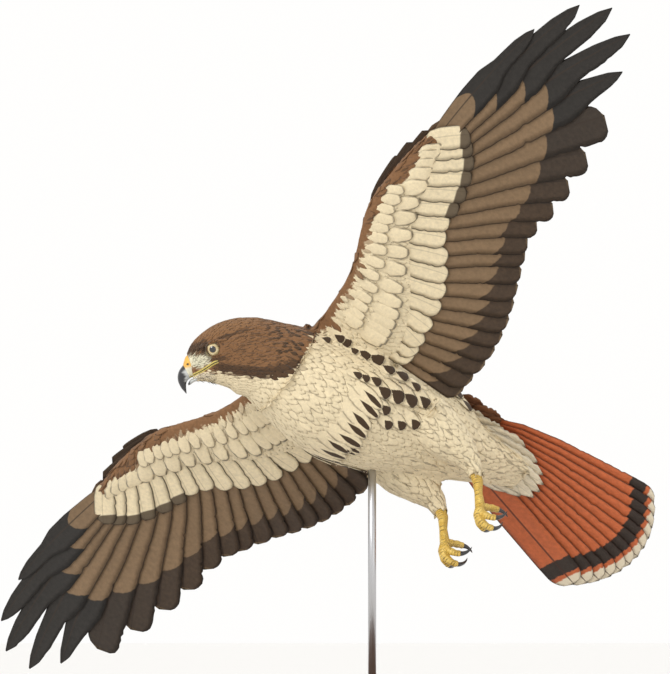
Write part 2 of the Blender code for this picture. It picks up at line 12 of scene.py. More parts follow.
import bmesh
import bpy
import numpy as np
from mathutils import Euler, Matrix, Vector
from mathutils.bvhtree import BVHTree


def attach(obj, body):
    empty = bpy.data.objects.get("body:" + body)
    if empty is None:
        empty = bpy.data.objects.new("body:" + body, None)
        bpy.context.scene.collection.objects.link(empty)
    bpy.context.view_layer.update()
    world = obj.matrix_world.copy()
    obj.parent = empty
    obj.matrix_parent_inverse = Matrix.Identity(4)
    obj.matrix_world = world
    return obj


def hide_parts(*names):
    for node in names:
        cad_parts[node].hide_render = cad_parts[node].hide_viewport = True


CM = 0.01
SEED = 7
SIDES = {1: "left", -1: "right"}

# The pose and the driving sizes of the solids, which the plumage repeats.
BIRD_AT = Vector((-0.072, -0.012, 0.416))
BIRD_BANK = math.radians(41.12)
BIRD_CLIMB = math.radians(34.12)
BIRD_HEADING = math.radians(-166.56)
HEAD_AT = Vector((8.0, -1.3, -4.5)) * CM
HEAD_DIP = math.radians(15)
HEAD_HEADING = math.radians(-176)
EYE_AT = Vector((1.60, 1.78, 0.42)) * CM
EYE_RADIUS = 0.80 * CM

SHOULDER_OUT = 4.0 * CM
WING_ROOT_OUT = 3.0 * CM
DIHEDRAL = {1: math.radians(3.0), -1: math.radians(1.8)}
HAND_TWIST = 0.30
# The wing's outlines and its feathers' tips, as centimetres forward and out from the shoulder.
WING_LEADING = ((2.2, 3.0), (3.2, 9.2), (5.3, 14.4), (6.5, 17.5), (6.9, 21.3), (6.9, 25.2),
                (6.6, 29.6))
WING_REAR = ((-7.4, 3.0), (-5.4, 9.2), (-2.0, 14.4), (0.2, 17.5), (2.0, 21.3), (3.6, 25.2),
             (4.9, 29.6))
WING_THICKNESS = (2.6, 2.2, 1.9, 1.8, 1.6, 1.45, 1.15)
PRIMARY_TIPS = ((5.8, 48.1), (4.1, 54.3), (1.5, 57.0), (-1.6, 56.3), (-3.6, 52.3),
                (-5.3, 46.8), (-6.5, 41.5), (-7.3, 36.9), (-7.9, 32.9), (-8.1, 29.3))
SECONDARY_TIPS = ((-8.8, 26.4), (-11.2, 21.2), (-13.4, 16.1), (-14.7, 10.7), (-15.0, 4.9))
SECONDARY_COUNT = 11
PRIMARY_WIDTHS = (2.9, 3.7, 4.0, 4.1, 4.2, 4.2, 4.1, 4.0, 3.9, 3.8)
SECONDARY_WIDTH = 3.7
# Where each of the outer primaries narrows to a finger, as a share of its length.
FINGER_FROM = (0.58, 0.54, 0.58, 0.64, 0.72)
UNDER_COVERT_TIPS = ((3.4, 33.0), (1.2, 30.6), (-0.8, 26.0), (-1.7, 21.3), (-4.7, 17.3),
                     (-6.9, 13.1), (-8.2, 7.4), (-8.6, 4.7))
UPPER_COVERT_TIPS = ((3.6, 35.5), (1.2, 32.5), (-1.6, 28.0), (-3.6, 23.0), (-6.4, 18.0),
                     (-8.0, 13.0), (-9.0, 7.4), (-9.2, 4.7))
COVERT_COUNT = 16
COVERT_WIDTH = 2.7
COVERT_LIFT = 0.40
ALULA_TIPS = ((6.6, 29.0), (7.0, 26.4), (7.0, 24.0))
VANE_STEP = 0.125 * CM
VANE_THICKNESS = 0.075 * CM
# An alula feather's width and that of the sliver inside it, in centimetres.
ALULA_WIDTHS = (1.5, 0.01)

TAIL_APEX = Vector((-8.4, 0.0, 6.9)) * CM
TAIL_RISE = math.radians(-4.5)
TAIL_SPREAD = math.radians(13.9)
TAIL_LENGTH = 34.7 * CM
TAIL_ROUNDING = 0.055
RECTRIX_COUNT = 12
RECTRIX_WIDTH = 4.8
TAIL_ROOT = 14.0 * CM
# The rump's length and its end's height, in centimetres.
TAIL_CORE_LENGTH = 8.0
TAIL_CORE_END = 5.0
TAIL_COVERT_ROOT = 12.5 * CM
TAIL_COVERT_SPREAD = math.radians(12)
TAIL_COVERT_ROUNDING = 0.2
# The reach and the root's and the tip's lift of the coverts under the tail and over it.
TAIL_COVERTS = ((22.2, -1.5, -0.65), (21.0, 0.2, 0.65))
# Each toe's length, spread to the side, first angle from the shank, curl, its claw's curl, radius.
TOES = ((3.0, 0.42, 30, 140, 62, 0.46), (3.7, 0.0, 35, 150, 62, 0.48),
        (3.0, -0.42, 30, 140, 62, 0.44), (2.3, 0.1, -108, -28, -85, 0.47))
BALL_OF_FOOT = (-23.5, 3.5, -7.75)
BASE_HEIGHT = 0.022
# How much of the solids' size the bill and the eyes have.
SLIMMER = 0.985

# Rings of the cere and the bill: their top and low points and half their width, in centimetres
# of the head's frame, and the rings that carry them back into what holds them.
CERE = (((4.48, 0.50), (4.48, -1.90), 0.92), ((4.80, 0.12), (4.62, -1.93), 0.90),
        ((5.08, -0.38), (4.72, -1.96), 0.82))
BEAK_UPPER = (((5.12, -0.40), (4.75, -1.98), 0.80), ((5.62, -0.82), (4.98, -2.08), 0.70),
              ((5.93, -1.35), (5.16, -2.28), 0.60), ((6.03, -1.95), (5.28, -2.52), 0.48),
              ((5.90, -2.65), (5.36, -2.85), 0.32), ((5.68, -3.12), (5.42, -3.15), 0.18),
              ((5.53, -3.41), (5.47, -3.41), 0.05))
BEAK_LOWER = (((4.48, -2.02), (4.48, -2.46), 0.70), ((4.80, -2.13), (4.80, -2.60), 0.60),
              ((5.06, -2.42), (5.06, -2.62), 0.25))
CERE_ROOT = ((3.9, 0.60), (3.9, -1.95), 0.90)
UPPER_ROOT = ((4.80, -0.15), (4.60, -1.90), 0.80)
LOWER_ROOT = ((4.05, -1.95), (4.05, -2.42), 0.74)
NOSTRIL = np.array((4.60, -0.42))

# The camera looks up by this much from this far off. The drawing is this many metres across.
LOOK_UP = math.radians(1.5)
CAMERA_AWAY = 12.0
PICTURE_SPAN = 0.72473
AIM_RIGHT = 0.03204
AIM_UP = 0.0243

# Plumage colours, as red, green and blue from 0 to 1 in linear light.
CREAM = (0.84, 0.71, 0.475)
PALE = (0.88, 0.775, 0.58)
HOOD_BROWN = (0.235, 0.118, 0.052)
HOOD_DARK = (0.060, 0.034, 0.019)
FLIGHT_BROWN = (0.235, 0.150, 0.080)
DARK_BROWN = (0.060, 0.036, 0.020)
BACK_BROWN = (0.120, 0.070, 0.038)
FINGER_BLACK = (0.022, 0.019, 0.016)
RUFOUS = (0.60, 0.145, 0.048)
RUFOUS_ABOVE = (0.55, 0.115, 0.030)
BAND_BLACK = (0.030, 0.022, 0.016)
BARB_DEPTH = 0.0003


# Frames

def bird_matrix():
    turn = Euler((BIRD_BANK, -BIRD_CLIMB, BIRD_HEADING)).to_matrix().to_4x4()
    return Matrix.Translation(BIRD_AT) @ turn


def head_matrix():
    turn = Euler((0.0, HEAD_DIP, HEAD_HEADING)).to_matrix().to_4x4()
    return Matrix.Translation(bird_matrix() @ HEAD_AT) @ turn


BIRD = np.array(bird_matrix())
HEAD = np.array(head_matrix())
TO_BIRD = np.linalg.inv(BIRD)
TO_HEAD = np.linalg.inv(HEAD)
BIRD_TO_HEAD = TO_HEAD @ BIRD


def moved(points, matrix):
    """The points after this four by four matrix."""
    return points @ matrix[:3, :3].T + matrix[:3, 3]


def in_head(points):
    """Places of the bird's frame in the head's frame, in centimetres."""
    return moved(points, BIRD_TO_HEAD) / CM


def unit(vectors):
    return vectors / np.maximum(np.linalg.norm(vectors, axis=-1, keepdims=True), 1e-12)


def eased(low, high, value):
    """Rises smoothly from 0 at low to 1 at high, or falls where low is the greater."""
    share = np.clip((value - low) / (high - low), 0.0, 1.0)
    return share * share * (3 - 2 * share)


# Curves

def curve_through(points, share):
    """A smooth curve's point at this share of the way through the points."""
    last = len(points) - 1
    place = min(max(share, 0.0), 1.0) * last
    index = min(int(place), last - 1)
    t = place - index
    p0, p1, p2, p3 = (Vector(points[min(max(index + k, 0), last)]) for k in (-1, 0, 1, 2))
    return 0.5 * (2 * p1 + (p2 - p0) * t + (2 * p0 - 5 * p1 + 4 * p2 - p3) * t ** 2
                  + (3 * p1 - p0 - 3 * p2 + p3) * t ** 3)


def value_at(points, out):
    """The forward value of a wing outline at this distance outward, in centimetres."""
    outs = [b for a, b in points]
    return np.interp(out, outs, [a for a, b in points])


def ellipse(centre, across, up, sides):
    angles = [2 * math.pi * k / sides for k in range(sides)]
    return [centre + across * math.sin(a) + up * math.cos(a) for a in angles]


# Meshes

def loft(rings):
    """A closed tube through rings of equal count, each extruded from the one before."""
    bm = bmesh.new()
    start = [bm.verts.new(point) for point in rings[0]]
    face = bm.faces.new(start)
    for points in rings[1:]:
        face = bmesh.ops.extrude_discrete_faces(bm, faces=[face])["faces"][0]
        for vert, point in zip(face.verts, points):
            vert.co = point
    bm.faces.new(start[::-1])
    bmesh.ops.recalc_face_normals(bm, faces=bm.faces[:])
    return bm


def add_piece(name, source, finishes=(), smooth=True):
    """A new object with this mesh or bmesh and these materials."""
    mesh = source
    if isinstance(source, bmesh.types.BMesh):
        mesh = bpy.data.meshes.new(name)
        source.to_mesh(mesh)
        source.free()
    obj = bpy.data.objects.new(name, mesh)
    bpy.context.scene.collection.objects.link(obj)
    for finish in finishes:
        mesh.materials.append(finish)
    if smooth:
        mesh.shade_smooth()
    return obj


def joined(bmeshes):
    """One bmesh that holds all of these."""
    whole = bmesh.new()
    for bm in bmeshes:
        mesh = bpy.data.meshes.new("part")
        bm.to_mesh(mesh)
        bm.free()
        whole.from_mesh(mesh)
        bpy.data.meshes.remove(mesh)
    return whole


def apply_modifiers(obj):
    graph = bpy.context.evaluated_depsgraph_get()
    mesh = bpy.data.meshes.new_from_object(obj.evaluated_get(graph))
    obj.modifiers.clear()
    obj.data = mesh


def remeshed(obj, voxel, rounds):
    """Turns the object's overlapping shells into one smooth closed skin."""
    remesh = obj.modifiers.new("Skin", "REMESH")
    remesh.mode = "VOXEL"
    remesh.voxel_size = voxel
    smooth = obj.modifiers.new("Smooth", "SMOOTH")
    smooth.factor = 0.5
    smooth.iterations = rounds
    apply_modifiers(obj)
    obj.data.shade_smooth()


def vectors_of(items, name):
    """Three numbers for each of a mesh's points or normals."""
    found = np.empty(len(items) * 3, np.float32)
    items.foreach_get(name, found)
    return found.reshape(-1, 3).astype(float)


def places_of(mesh):
    return vectors_of(mesh.vertices, "co")


def normals_of(mesh):
    return vectors_of(mesh.vertex_normals, "vector")


def put_places(mesh, places):
    mesh.vertices.foreach_set("co", places.astype(np.float32).ravel())
    mesh.update()


def sink(obj, depths):
    """Moves each point of a skin inwards by its depth."""
    put_places(obj.data, places_of(obj.data) - normals_of(obj.data) * depths[:, None])


def paint_points(mesh, name, *values):
    """Stores one colour for each point, given whole or as three columns."""
    layer = mesh.color_attributes.new(name, "FLOAT_COLOR", "POINT")
    full = np.ones((len(mesh.vertices), 4), np.float32)
    full[:, :3] = values[0] if len(values) == 1 else np.stack(values, axis=-1)
    layer.data.foreach_set("color", full.ravel())


def blended(base, *layers):
    """Colours with others laid over them: each layer has a colour and a share for each point."""
    for colour, share in layers:
        base = base * (1 - share[:, None]) + np.array(colour) * share[:, None]
    return base


def all_one(colour, places):
    """The same colour for each of the places."""
    return np.tile(colour, (len(places), 1)).astype(float)


def unwrap_skin(obj):
    """The skin's own unwrap, which the coat's roots share."""
    bpy.ops.object.select_all(action="DESELECT")
    obj.select_set(True)
    bpy.context.view_layer.objects.active = obj
    obj.data.uv_layers.new(name="OFBake")
    bpy.ops.object.mode_set(mode="EDIT")
    bpy.ops.mesh.select_all(action="SELECT")
    bpy.ops.uv.smart_project(angle_limit=math.radians(66), island_margin=0.003)
    bpy.ops.object.mode_set(mode="OBJECT")


# Material nodes

class Field:
    """A value or colour that varies over a surface. Sums and products add nodes to its material."""

    def __init__(self, made, socket):
        self.made, self.socket = made, socket

    def __add__(self, other):
        return combined("ADD", self, other)

    def __sub__(self, other):
        return combined("SUBTRACT", self, other)

    def __rsub__(self, other):
        return combined("SUBTRACT", other, self)

    def __mul__(self, other):
        return combined("MULTIPLY", self, other)

    def greater(self, other):
        return combined("MAXIMUM", self, other)

    def absolute(self):
        return combined("ABSOLUTE", self)

    def waves(self, length):
        """Sine waves of this length along the field."""
        return combined("SINE", self * (2 * math.pi / length))

    def step(self, low, high, kind="SMOOTHSTEP"):
        """Rises from 0 at low to 1 at high, or falls where low is the greater."""
        return field(self.made, "ShaderNodeMapRange", {0: self, 1: low, 2: high},
                     interpolation_type=kind)

    def parts(self, kind="ShaderNodeSeparateColor"):
        """The three parts of a colour or place."""
        first = field(self.made, kind, {0: self})
        return [Field(self.made, socket) for socket in first.socket.node.outputs]


def field(made, kind, inputs=None, output=0, **settings):
    """What a new node gives with these settings. Its inputs are numbers, colours or fields."""
    tree = made.node_tree
    item = tree.nodes.new(kind)
    for key, value in settings.items():
        setattr(item, key, value)
    for key, value in (inputs or {}).items():
        if isinstance(value, Field):
            tree.links.new(value.socket, item.inputs[key])
        else:
            item.inputs[key].default_value = value
    return Field(made, item.outputs[output])


def combined(operation, a, b=0.0):
    made = a.made if isinstance(a, Field) else b.made
    return field(made, "ShaderNodeMath", {0: a, 1: b}, operation=operation)


def mixed(share, a, b, blend="MIX"):
    """Colour a with colour b laid over it by the share."""
    made = next(value.made for value in (share, a, b) if isinstance(value, Field))
    colours = {key: value if isinstance(value, Field) else (*value, 1.0)
               for key, value in ((6, a), (7, b))}
    return field(made, "ShaderNodeMix", {0: share, **colours}, 2, data_type="RGBA",
                 blend_type=blend)


def new_material(name, roughness, specular, **values):
    """A material with these fixed values of its shader, which has spaces for their underlines."""
    made = bpy.data.materials.new(name)
    made.use_nodes = True
    shader = made.node_tree.nodes["Principled BSDF"]
    values.update(Roughness=roughness, Specular_IOR_Level=specular)
    for key, value in values.items():
        shader.inputs[key.replace("_", " ")].default_value = value
    return made


def finished(made, colour, height=None, strength=0.0, distance=0.0):
    """The material with this colour, and with a bump where it has a height."""
    tree = made.node_tree
    shader = tree.nodes["Principled BSDF"]
    tree.links.new(colour.socket, shader.inputs["Base Color"])
    if height is not None:
        bump = field(made, "ShaderNodeBump", {"Height": height, "Strength": strength,
                                              "Distance": distance})
        tree.links.new(bump.socket, shader.inputs["Normal"])
    return made


def object_place(made):
    return field(made, "ShaderNodeTexCoord", output="Object")


def stretched_place(made, scale):
    return field(made, "ShaderNodeMapping", {"Vector": object_place(made), "Scale": scale})


def painted(made, name):
    """The colour that is painted on the points under this name."""
    return field(made, "ShaderNodeVertexColor", layer_name=name)


def noise(made, scale, detail=3.0, place=None, roughness=0.6):
    return field(made, "ShaderNodeTexNoise", {"Vector": place or object_place(made),
                                              "Scale": scale, "Detail": detail,
                                              "Roughness": roughness})


def shaded(made, colour, scale, low, high):
    """The colour with fine lighter and darker mottling."""
    level = field(made, "ShaderNodeMapRange", {0: noise(made, scale, 4.0), 1: 0.3, 2: 0.7,
                                               3: low, 4: high})
    grey = field(made, "ShaderNodeCombineColor", {0: level, 1: level, 2: level})
    return mixed(1.0, colour, grey, "MULTIPLY")


def painted_finish(name, roughness, specular, grain, bump, coat=0.0):
    """A finish whose colour is painted on the points, with fine grain in colour and height."""
    made = new_material(name, roughness, specular, Coat_Weight=coat, Coat_Roughness=0.15)
    bump_scale, detail, strength, distance = bump
    return finished(made, shaded(made, painted(made, "tint"), *grain),
                    noise(made, bump_scale, detail), strength, distance)


# Feather finishes

def vane_base(made, spacing, slant=-0.035):
    """Places along and across a vane and from its shaft, and its slanting barbs' ridges."""
    vane = field(made, "ShaderNodeUVMap", uv_map="vane")
    along, across, _ = vane.parts("ShaderNodeSeparateXYZ")
    side = (across - 0.5).absolute()
    return along, across, side, (along + side * slant).waves(spacing)


def barbed(made, colour, wave, dark, share=0.10, strength=0.45):
    """The material of a vane with its barbs' ridges in colour and height."""
    return finished(made, mixed((wave * 0.5 + 0.5) * share, colour, dark), wave, strength,
                    BARB_DEPTH)


def quilled(made, colour, side, wave, line, dark, strength=0.75, rim=(0.468, 0.495)):
    """The material of a flight feather, with a dark line on its shaft and painted shade along its
    rims, where one feather meets the next.
    """
    # The line at the rim is painted shade for the shadowed gap between neighbouring feathers.
    lines = side.step(0.035, 0.018).greater(side.step(*rim))
    return barbed(made, mixed(lines * strength, colour, line), wave, dark)


def coat_finish():
    """Body feathers: each one's own colour, with a dark drop, rim or shaft streak where marked."""
    made = new_material("plumage", 0.85, 0.2, Sheen_Weight=0.1, Sheen_Roughness=0.5)
    along, _, side, wave = vane_base(made, 0.05, -0.9)
    marks = painted(made, "mark").parts()
    wide = side * 2.0
    ragged = (noise(made, 900.0) - 0.5) * 0.30
    swell = along.step(0.46, 0.86, "LINEAR") * along.step(0.985, 0.93)
    drop = (swell * 1.05 + ragged - wide).step(0.05, 0.14)
    point = along.step(0.30, 0.72) * along.step(0.99, 0.93)
    streak = ((ragged * 0.3 + 0.42) * point - wide).step(0.0, 0.08)
    rim = (wide + ragged * 0.4).step(0.76, 0.84).greater(along.step(0.93, 0.955))
    rim *= along.step(0.55, 0.75)
    colour = shaded(made, painted(made, "tint"), 300.0, 0.90, 1.08)
    for shape, strength in zip((drop, rim, streak), marks):
        colour = mixed(shape * strength, colour, DARK_BROWN)
    return barbed(made, colour, wave, (0.10, 0.06, 0.03), 0.07, 0.35)


def remex_finish(name, upper):
    """Flight feathers: brown, with a dark trailing end that is black on the fingers."""
    made = new_material(name, 0.62, 0.35)
    from_tip, _, side, wave = vane_base(made, 0.0011)
    dark_reach, black, pale_tip = painted(made, "mark").parts()
    ragged = (noise(made, 160.0) - 0.5) * 0.004
    place = from_tip + ragged - side * side * 0.075
    dark = (dark_reach * DARK_SCALE - place).step(-0.0008, 0.0012)
    base = shaded(made, painted(made, "tint"), 220.0, 0.86, 1.12)
    if upper:
        bars = (from_tip + ragged).waves(0.021)
        base = mixed(bars.step(0.25, 0.7) * 0.55, base, DARK_BROWN)
    tip_colour = mixed(black, DARK_BROWN, FINGER_BLACK)
    colour = mixed(dark, base, shaded(made, tip_colour, 220.0, 0.8, 1.3))
    pale = from_tip.step(0.0035, 0.0012) * (pale_tip * 0.65)
    colour = mixed(pale, colour, (0.32, 0.22, 0.12))
    # This dark colour goes on the shafts, on the barbs' ridges and as the painted shade along the
    # rims.
    dark_line = (0.035, 0.022, 0.014)
    return quilled(made, colour, side, wave, dark_line, dark_line)


def rectrix_finish(name, upper):
    """Tail feathers: rufous, with a black band, a thin rufous line and a white tip."""
    made = new_material(name, 0.6, 0.35)
    from_tip, _, side, wave = vane_base(made, 0.0011)
    place = from_tip + (noise(made, 170.0) - 0.5) * 0.005
    base = shaded(made, RUFOUS_ABOVE if upper else RUFOUS, 190.0, 0.84, 1.12)
    band = place.step(0.0150, 0.0165) * place.step(0.0350, 0.0335)
    colour = mixed(band, base, shaded(made, BAND_BLACK, 200.0, 0.8, 1.4))
    colour = mixed(place.step(0.0118, 0.0100), colour, PALE)
    # The first colour is that of the shaft line and of the painted shade along the rims.
    return quilled(made, colour, side, wave, (0.05, 0.020, 0.012), (0.12, 0.03, 0.015), 0.8,
                   (0.462, 0.49))


def covert_finish(name, upper):
    """Greater coverts: cream beneath with a dark edge, brown above with a pale edge."""
    made = new_material(name, 0.75, 0.25)
    from_tip, across, side, wave = vane_base(made, 0.0009)
    spot, _, line = painted(made, "mark").parts()
    colour = shaded(made, painted(made, "tint"), 240.0, 0.88, 1.10)
    edge = side.step(0.455, 0.478)
    if upper:
        rim = edge.greater(from_tip.step(0.004, 0.0015))
    else:
        comma = (from_tip + (across - 0.2) * 0.012).step(0.0165, 0.0145)
        colour = mixed(comma * spot, colour, DARK_BROWN)
        rim = edge.greater(from_tip.step(0.0022, 0.0012))
    colour = mixed(rim * line, colour, (0.36, 0.24, 0.14) if upper else DARK_BROWN)
    colour = mixed(side.step(0.035, 0.018) * 0.22, colour, DARK_BROWN)
    return finished(made, colour, wave, 0.45, BARB_DEPTH)


def skin_finish(name):
    return painted_finish(name, 0.8, 0.3, (320.0, 0.75, 1.1), (900.0, 5.0, 0.6, 0.0006))


# Feather patterns

# Large feathers lie side by side on the bake map, their lower faces on its other half. A small
# one has a patch of this size at its root's place on the skin's own map.
BAKE_COLUMNS = 8
BELOW_SHIFT = (0.5, 0.0)
BAKE_PATCH = 0.003


def vane_template(rows, columns):
    """A closed lens of two grids welded round their rim: points as along, across and side."""
    bm = bmesh.new()
    bmesh.ops.create_grid(bm, x_segments=rows, y_segments=columns, size=1.0)
    upper = bm.faces[:]
    copy = bmesh.ops.duplicate(bm, geom=upper)["geom"]
    lower = [item for item in copy if isinstance(item, bmesh.types.BMFace)]
    bmesh.ops.reverse_faces(bm, faces=lower)
    for faces, height in ((upper, 1.0), (lower, -1.0)):
        for vert in {vert for face in faces for vert in face.verts}:
            if not vert.is_boundary:
                vert.co.z = height
    bmesh.ops.remove_doubles(bm, verts=bm.verts[:], dist=1e-5)
    bm.verts.index_update()
    points = np.array([vert.co[:] for vert in bm.verts])
    faces = np.array([[vert.index for vert in face.verts] for face in bm.faces])
    heights = points[faces][:, :, 2].sum(axis=1)
    bm.free()
    return {"row": np.rint((points[:, 0] + 1) / 2 * rows).astype(int), "rows": rows,
            "along": (points[:, 0] + 1) / 2, "across": points[:, 1], "side": points[:, 2],
            "faces": faces, "below": heights < 0}


class Plumes:
    """Feathers gathered into one mesh, with their vane maps, colours and finishes."""

    def __init__(self):
        self.lists = defaultdict(list)
        self.count = 0

    def add(self, template, points, vane, bake, tint, mark, finish=(0, 0)):
        """points, vane and bake have a row for each feather's point, tint and mark one a feather.

        finish gives the places of the upper and the lower face's material in the piece's list.
        """
        feathers, spots = points.shape[:2]
        start = self.count + spots * np.arange(feathers)[:, None, None]
        below = np.tile(template["below"], feathers)
        added = {"points": points.reshape(-1, 3), "vane": vane.reshape(-1, 2),
                 "bake": bake.reshape(-1, 2), "below": below,
                 "faces": (template["faces"] + start).reshape(-1, 4),
                 "tint": np.repeat(tint, spots, axis=0), "mark": np.repeat(mark, spots, axis=0),
                 "finish": np.where(below, finish[1], finish[0])}
        for name, values in added.items():
            self.lists[name].append(values)
        self.count += feathers * spots

    def build(self, name, matrix, materials, lower_shift=(0.0, 0.0)):
        whole = {key: np.concatenate(values) for key, values in self.lists.items()}
        corner = whole["faces"].astype(np.int32).ravel()
        mesh = bpy.data.meshes.new(name)
        mesh.vertices.add(self.count)
        mesh.loops.add(len(corner))
        mesh.loops.foreach_set("vertex_index", corner)
        mesh.polygons.add(len(whole["faces"]))
        mesh.polygons.foreach_set("loop_start", np.arange(0, len(corner), 4, dtype=np.int32))
        mesh.polygons.foreach_set("material_index", whole["finish"].astype(np.int32))
        put_places(mesh, moved(whole["points"], matrix))
        mesh.update(calc_edges=True)
        shift = np.repeat(whole["below"], 4)[:, None] * np.array(lower_shift)
        for layer, values in (("OFBake", whole["bake"][corner] + shift),
                              ("vane", whole["vane"][corner])):
            mesh.uv_layers.new(name=layer).data.foreach_set(
                "uv", values.astype(np.float32).ravel())
        for layer in ("tint", "mark"):
            paint_points(mesh, layer, whole[layer])
        return add_piece(name, mesh, materials)


def grid_cells(count, columns, template):
    """A cell of its own on the bake map for each of this many large feathers."""
    rows = math.ceil(count / columns)
    index = np.arange(count)
    left = (index % columns) / columns * BELOW_SHIFT[0]
    low = (index // columns) / rows
    across = (template["across"] + 1) / 2 * 0.46 / columns
    along = template["along"] * 0.96 / rows
    return np.stack([left[:, None] + across[None] + 0.01 / columns,
                     low[:, None] + along[None] + 0.02 / rows], axis=-1)


# Flight feathers

# How far the dark end of each primary and of a secondary reaches, and the greatest that a mark
# can say.
PRIMARY_DARK = (0.115, 0.150, 0.145, 0.125, 0.100, 0.080, 0.060, 0.048, 0.040, 0.034)
SECONDARY_DARK = 0.026
DARK_SCALE = 0.4
REMEX_ROWS = 56
COVERT_ROWS = 16
# Where a wing's rows of feathers have their roots: out to the hand, in to the elbow, and how
# far in from the wing's rear edge, in centimetres.
PRIMARY_ROOTS = (28.4, 17.8, 1.0)
SECONDARY_ROOTS = (16.6, 4.8, 1.0)
COVERT_ROOTS = (28.8, 4.8, 1.7)


def wing_place(side, forward, out, lift):
    """Points of the wing's surface in the bird's frame."""
    out = np.maximum(out, WING_ROOT_OUT + 0.1 * CM)
    twist = HAND_TWIST * np.clip((out - 20 * CM) / (25 * CM), 0.0, 1.0)
    rise = math.tan(DIHEDRAL[side]) * out + twist * (forward - 2.0 * CM)
    swell = 0.8 * CM * np.exp(-((out - 25 * CM) / (9 * CM)) ** 2)
    return np.stack([forward, side * (SHOULDER_OUT + out), rise + swell + lift], axis=-1)


def tail_place(forward, across, lift):
    """Points of the fanned tail's plane, from distance along and across from its apex."""
    cosine, sine = math.cos(TAIL_RISE), math.sin(TAIL_RISE)
    return np.stack([TAIL_APEX.x - forward * cosine + lift * sine, across,
                     TAIL_APEX.z + forward * sine + lift * cosine], axis=-1)


def steps_between(feathers):
    """For each feather, the distances across to its neighbour at the root and at the tip."""
    steps = []
    for index, (root, tip) in enumerate(feathers):
        other = feathers[index + 1] if index + 1 < len(feathers) else feathers[index - 1]
        way = (tip - root).normalized()
        across = Vector((way.y, -way.x))
        steps.append((abs((other[0] - root).dot(across)), abs((other[1] - tip).dot(across))))
    return steps


def feather_row(tips, count, roots):
    """Root and tip of each feather of a wing's row, from the hand inward."""
    outer, inner, inset = roots
    feathers = []
    for k in range(count):
        share = k / (count - 1)
        root_out = outer - (outer - inner) * share
        root = Vector((value_at(WING_REAR, root_out) + inset, root_out))
        feathers.append((root * CM, curve_through(tips, share) * CM))
    return feathers


def feather_fan(spread, rounding, root, reaches, wider=1.0):
    """Root and tip of each feather of a fan that is rounded at its end."""
    feathers = []
    for k, reach in enumerate(reaches):
        place = (2 * k / (len(reaches) - 1) - 1) * wider
        way = Vector((math.cos(spread * place), math.sin(spread * place)))
        feathers.append((way * root, way * (reach * (1 - rounding * place ** 2))))
    return feathers


def broad_width(share, length, width):
    """A rounded vane's width at this share of its length, as a share of its full width."""
    body = np.interp(share, (0.0, 0.12, 0.35, 0.8, 1.0), (0.42, 0.8, 1.0, 1.0, 0.94))
    start = 1.0 - 0.46 * width / length
    inside = np.clip((share - start) / (1 - start), 0.0, 1.0)
    return body * np.sqrt(np.maximum(1 - inside ** 2, 0.0)) + 0.002


def finger_width(share, start):
    """The width of a primary that narrows to a pointed finger."""
    return np.interp(share, (0.0, 0.15, 0.4, start - 0.02, start + 0.10, 0.86, 0.95, 1.0),
                     (0.4, 0.8, 1.0, 0.98, 0.60, 0.50, 0.30, 0.03))


def flight_vanes(plumes, template, place, feathers, widths, outline, lifts, look, rng,
                 lead=0.38, bow=0.02, finish=(0, 1), camber=0.0008, notch=0.05):
    """Adds broad feathers whose vanes tilt so that each clears the next one.

    place gives the points of their plane. look gives each feather's tint and mark from its
    index. lifts are how far their roots and tips stand off the plane.
    """
    share, row = template["along"], template["row"]
    across = np.sign(template["across"]) * np.abs(template["across"]) ** 1.25
    rows = template["rows"]
    vanes = []
    for index, ((root, tip), (near, far)) in enumerate(zip(feathers, steps_between(feathers))):
        along = tip - root
        length = along.length
        ahead = Vector((along.y, -along.x)).normalized()
        width = widths[index] * CM
        full = outline(index, share, length, width)
        ragged = rng.normal(0.0, 0.5, rows + 1)
        splits = np.zeros(rows + 1)
        for spot in rng.integers(int(rows * 0.45), rows - 2, 3):
            splits[spot] = -rng.uniform(1.0, 3.5)
        wear = 1 + notch * (ragged * 0.35 + splits * 0.5)[row] * (across < -0.9)
        bent = bow * length * 4 * share * (1 - share)
        reach = np.where(across > 0, lead * width * full, (1 - lead) * width * full * wear)
        offset = across * reach
        slope = VANE_STEP / np.maximum(near + (far - near) * share, 0.4 * CM)
        lift = lifts[0] + (lifts[1] - lifts[0]) * share
        spot_x = root.x + along.x * share + ahead.x * (bent + offset)
        spot_y = root.y + along.y * share + ahead.y * (bent + offset)
        quill = np.exp(-(across / 0.08) ** 2) * (0.00045 * (1 - 0.8 * share))
        body = 0.00012 * (1 - 0.5 * np.abs(across))
        height = (lift + slope * offset - VANE_THICKNESS / 2 + template["side"] * (quill + body)
                  - camber * (across ** 2))
        vane = np.stack([(1 - share) * length, (across + 1) / 2], axis=-1)
        vanes.append((place(spot_x, spot_y, height), vane, *look(index)))
    points, maps, tints, marks = (np.array(values, float) for values in zip(*vanes))
    bake = grid_cells(len(feathers), BAKE_COLUMNS, template)
    plumes.add(template, points, maps, bake, tints, marks, finish)


def varied(colour, rng, amount=0.08):
    return np.clip(np.array(colour) * (1 + rng.uniform(-amount, amount)), 0.0, 1.0)


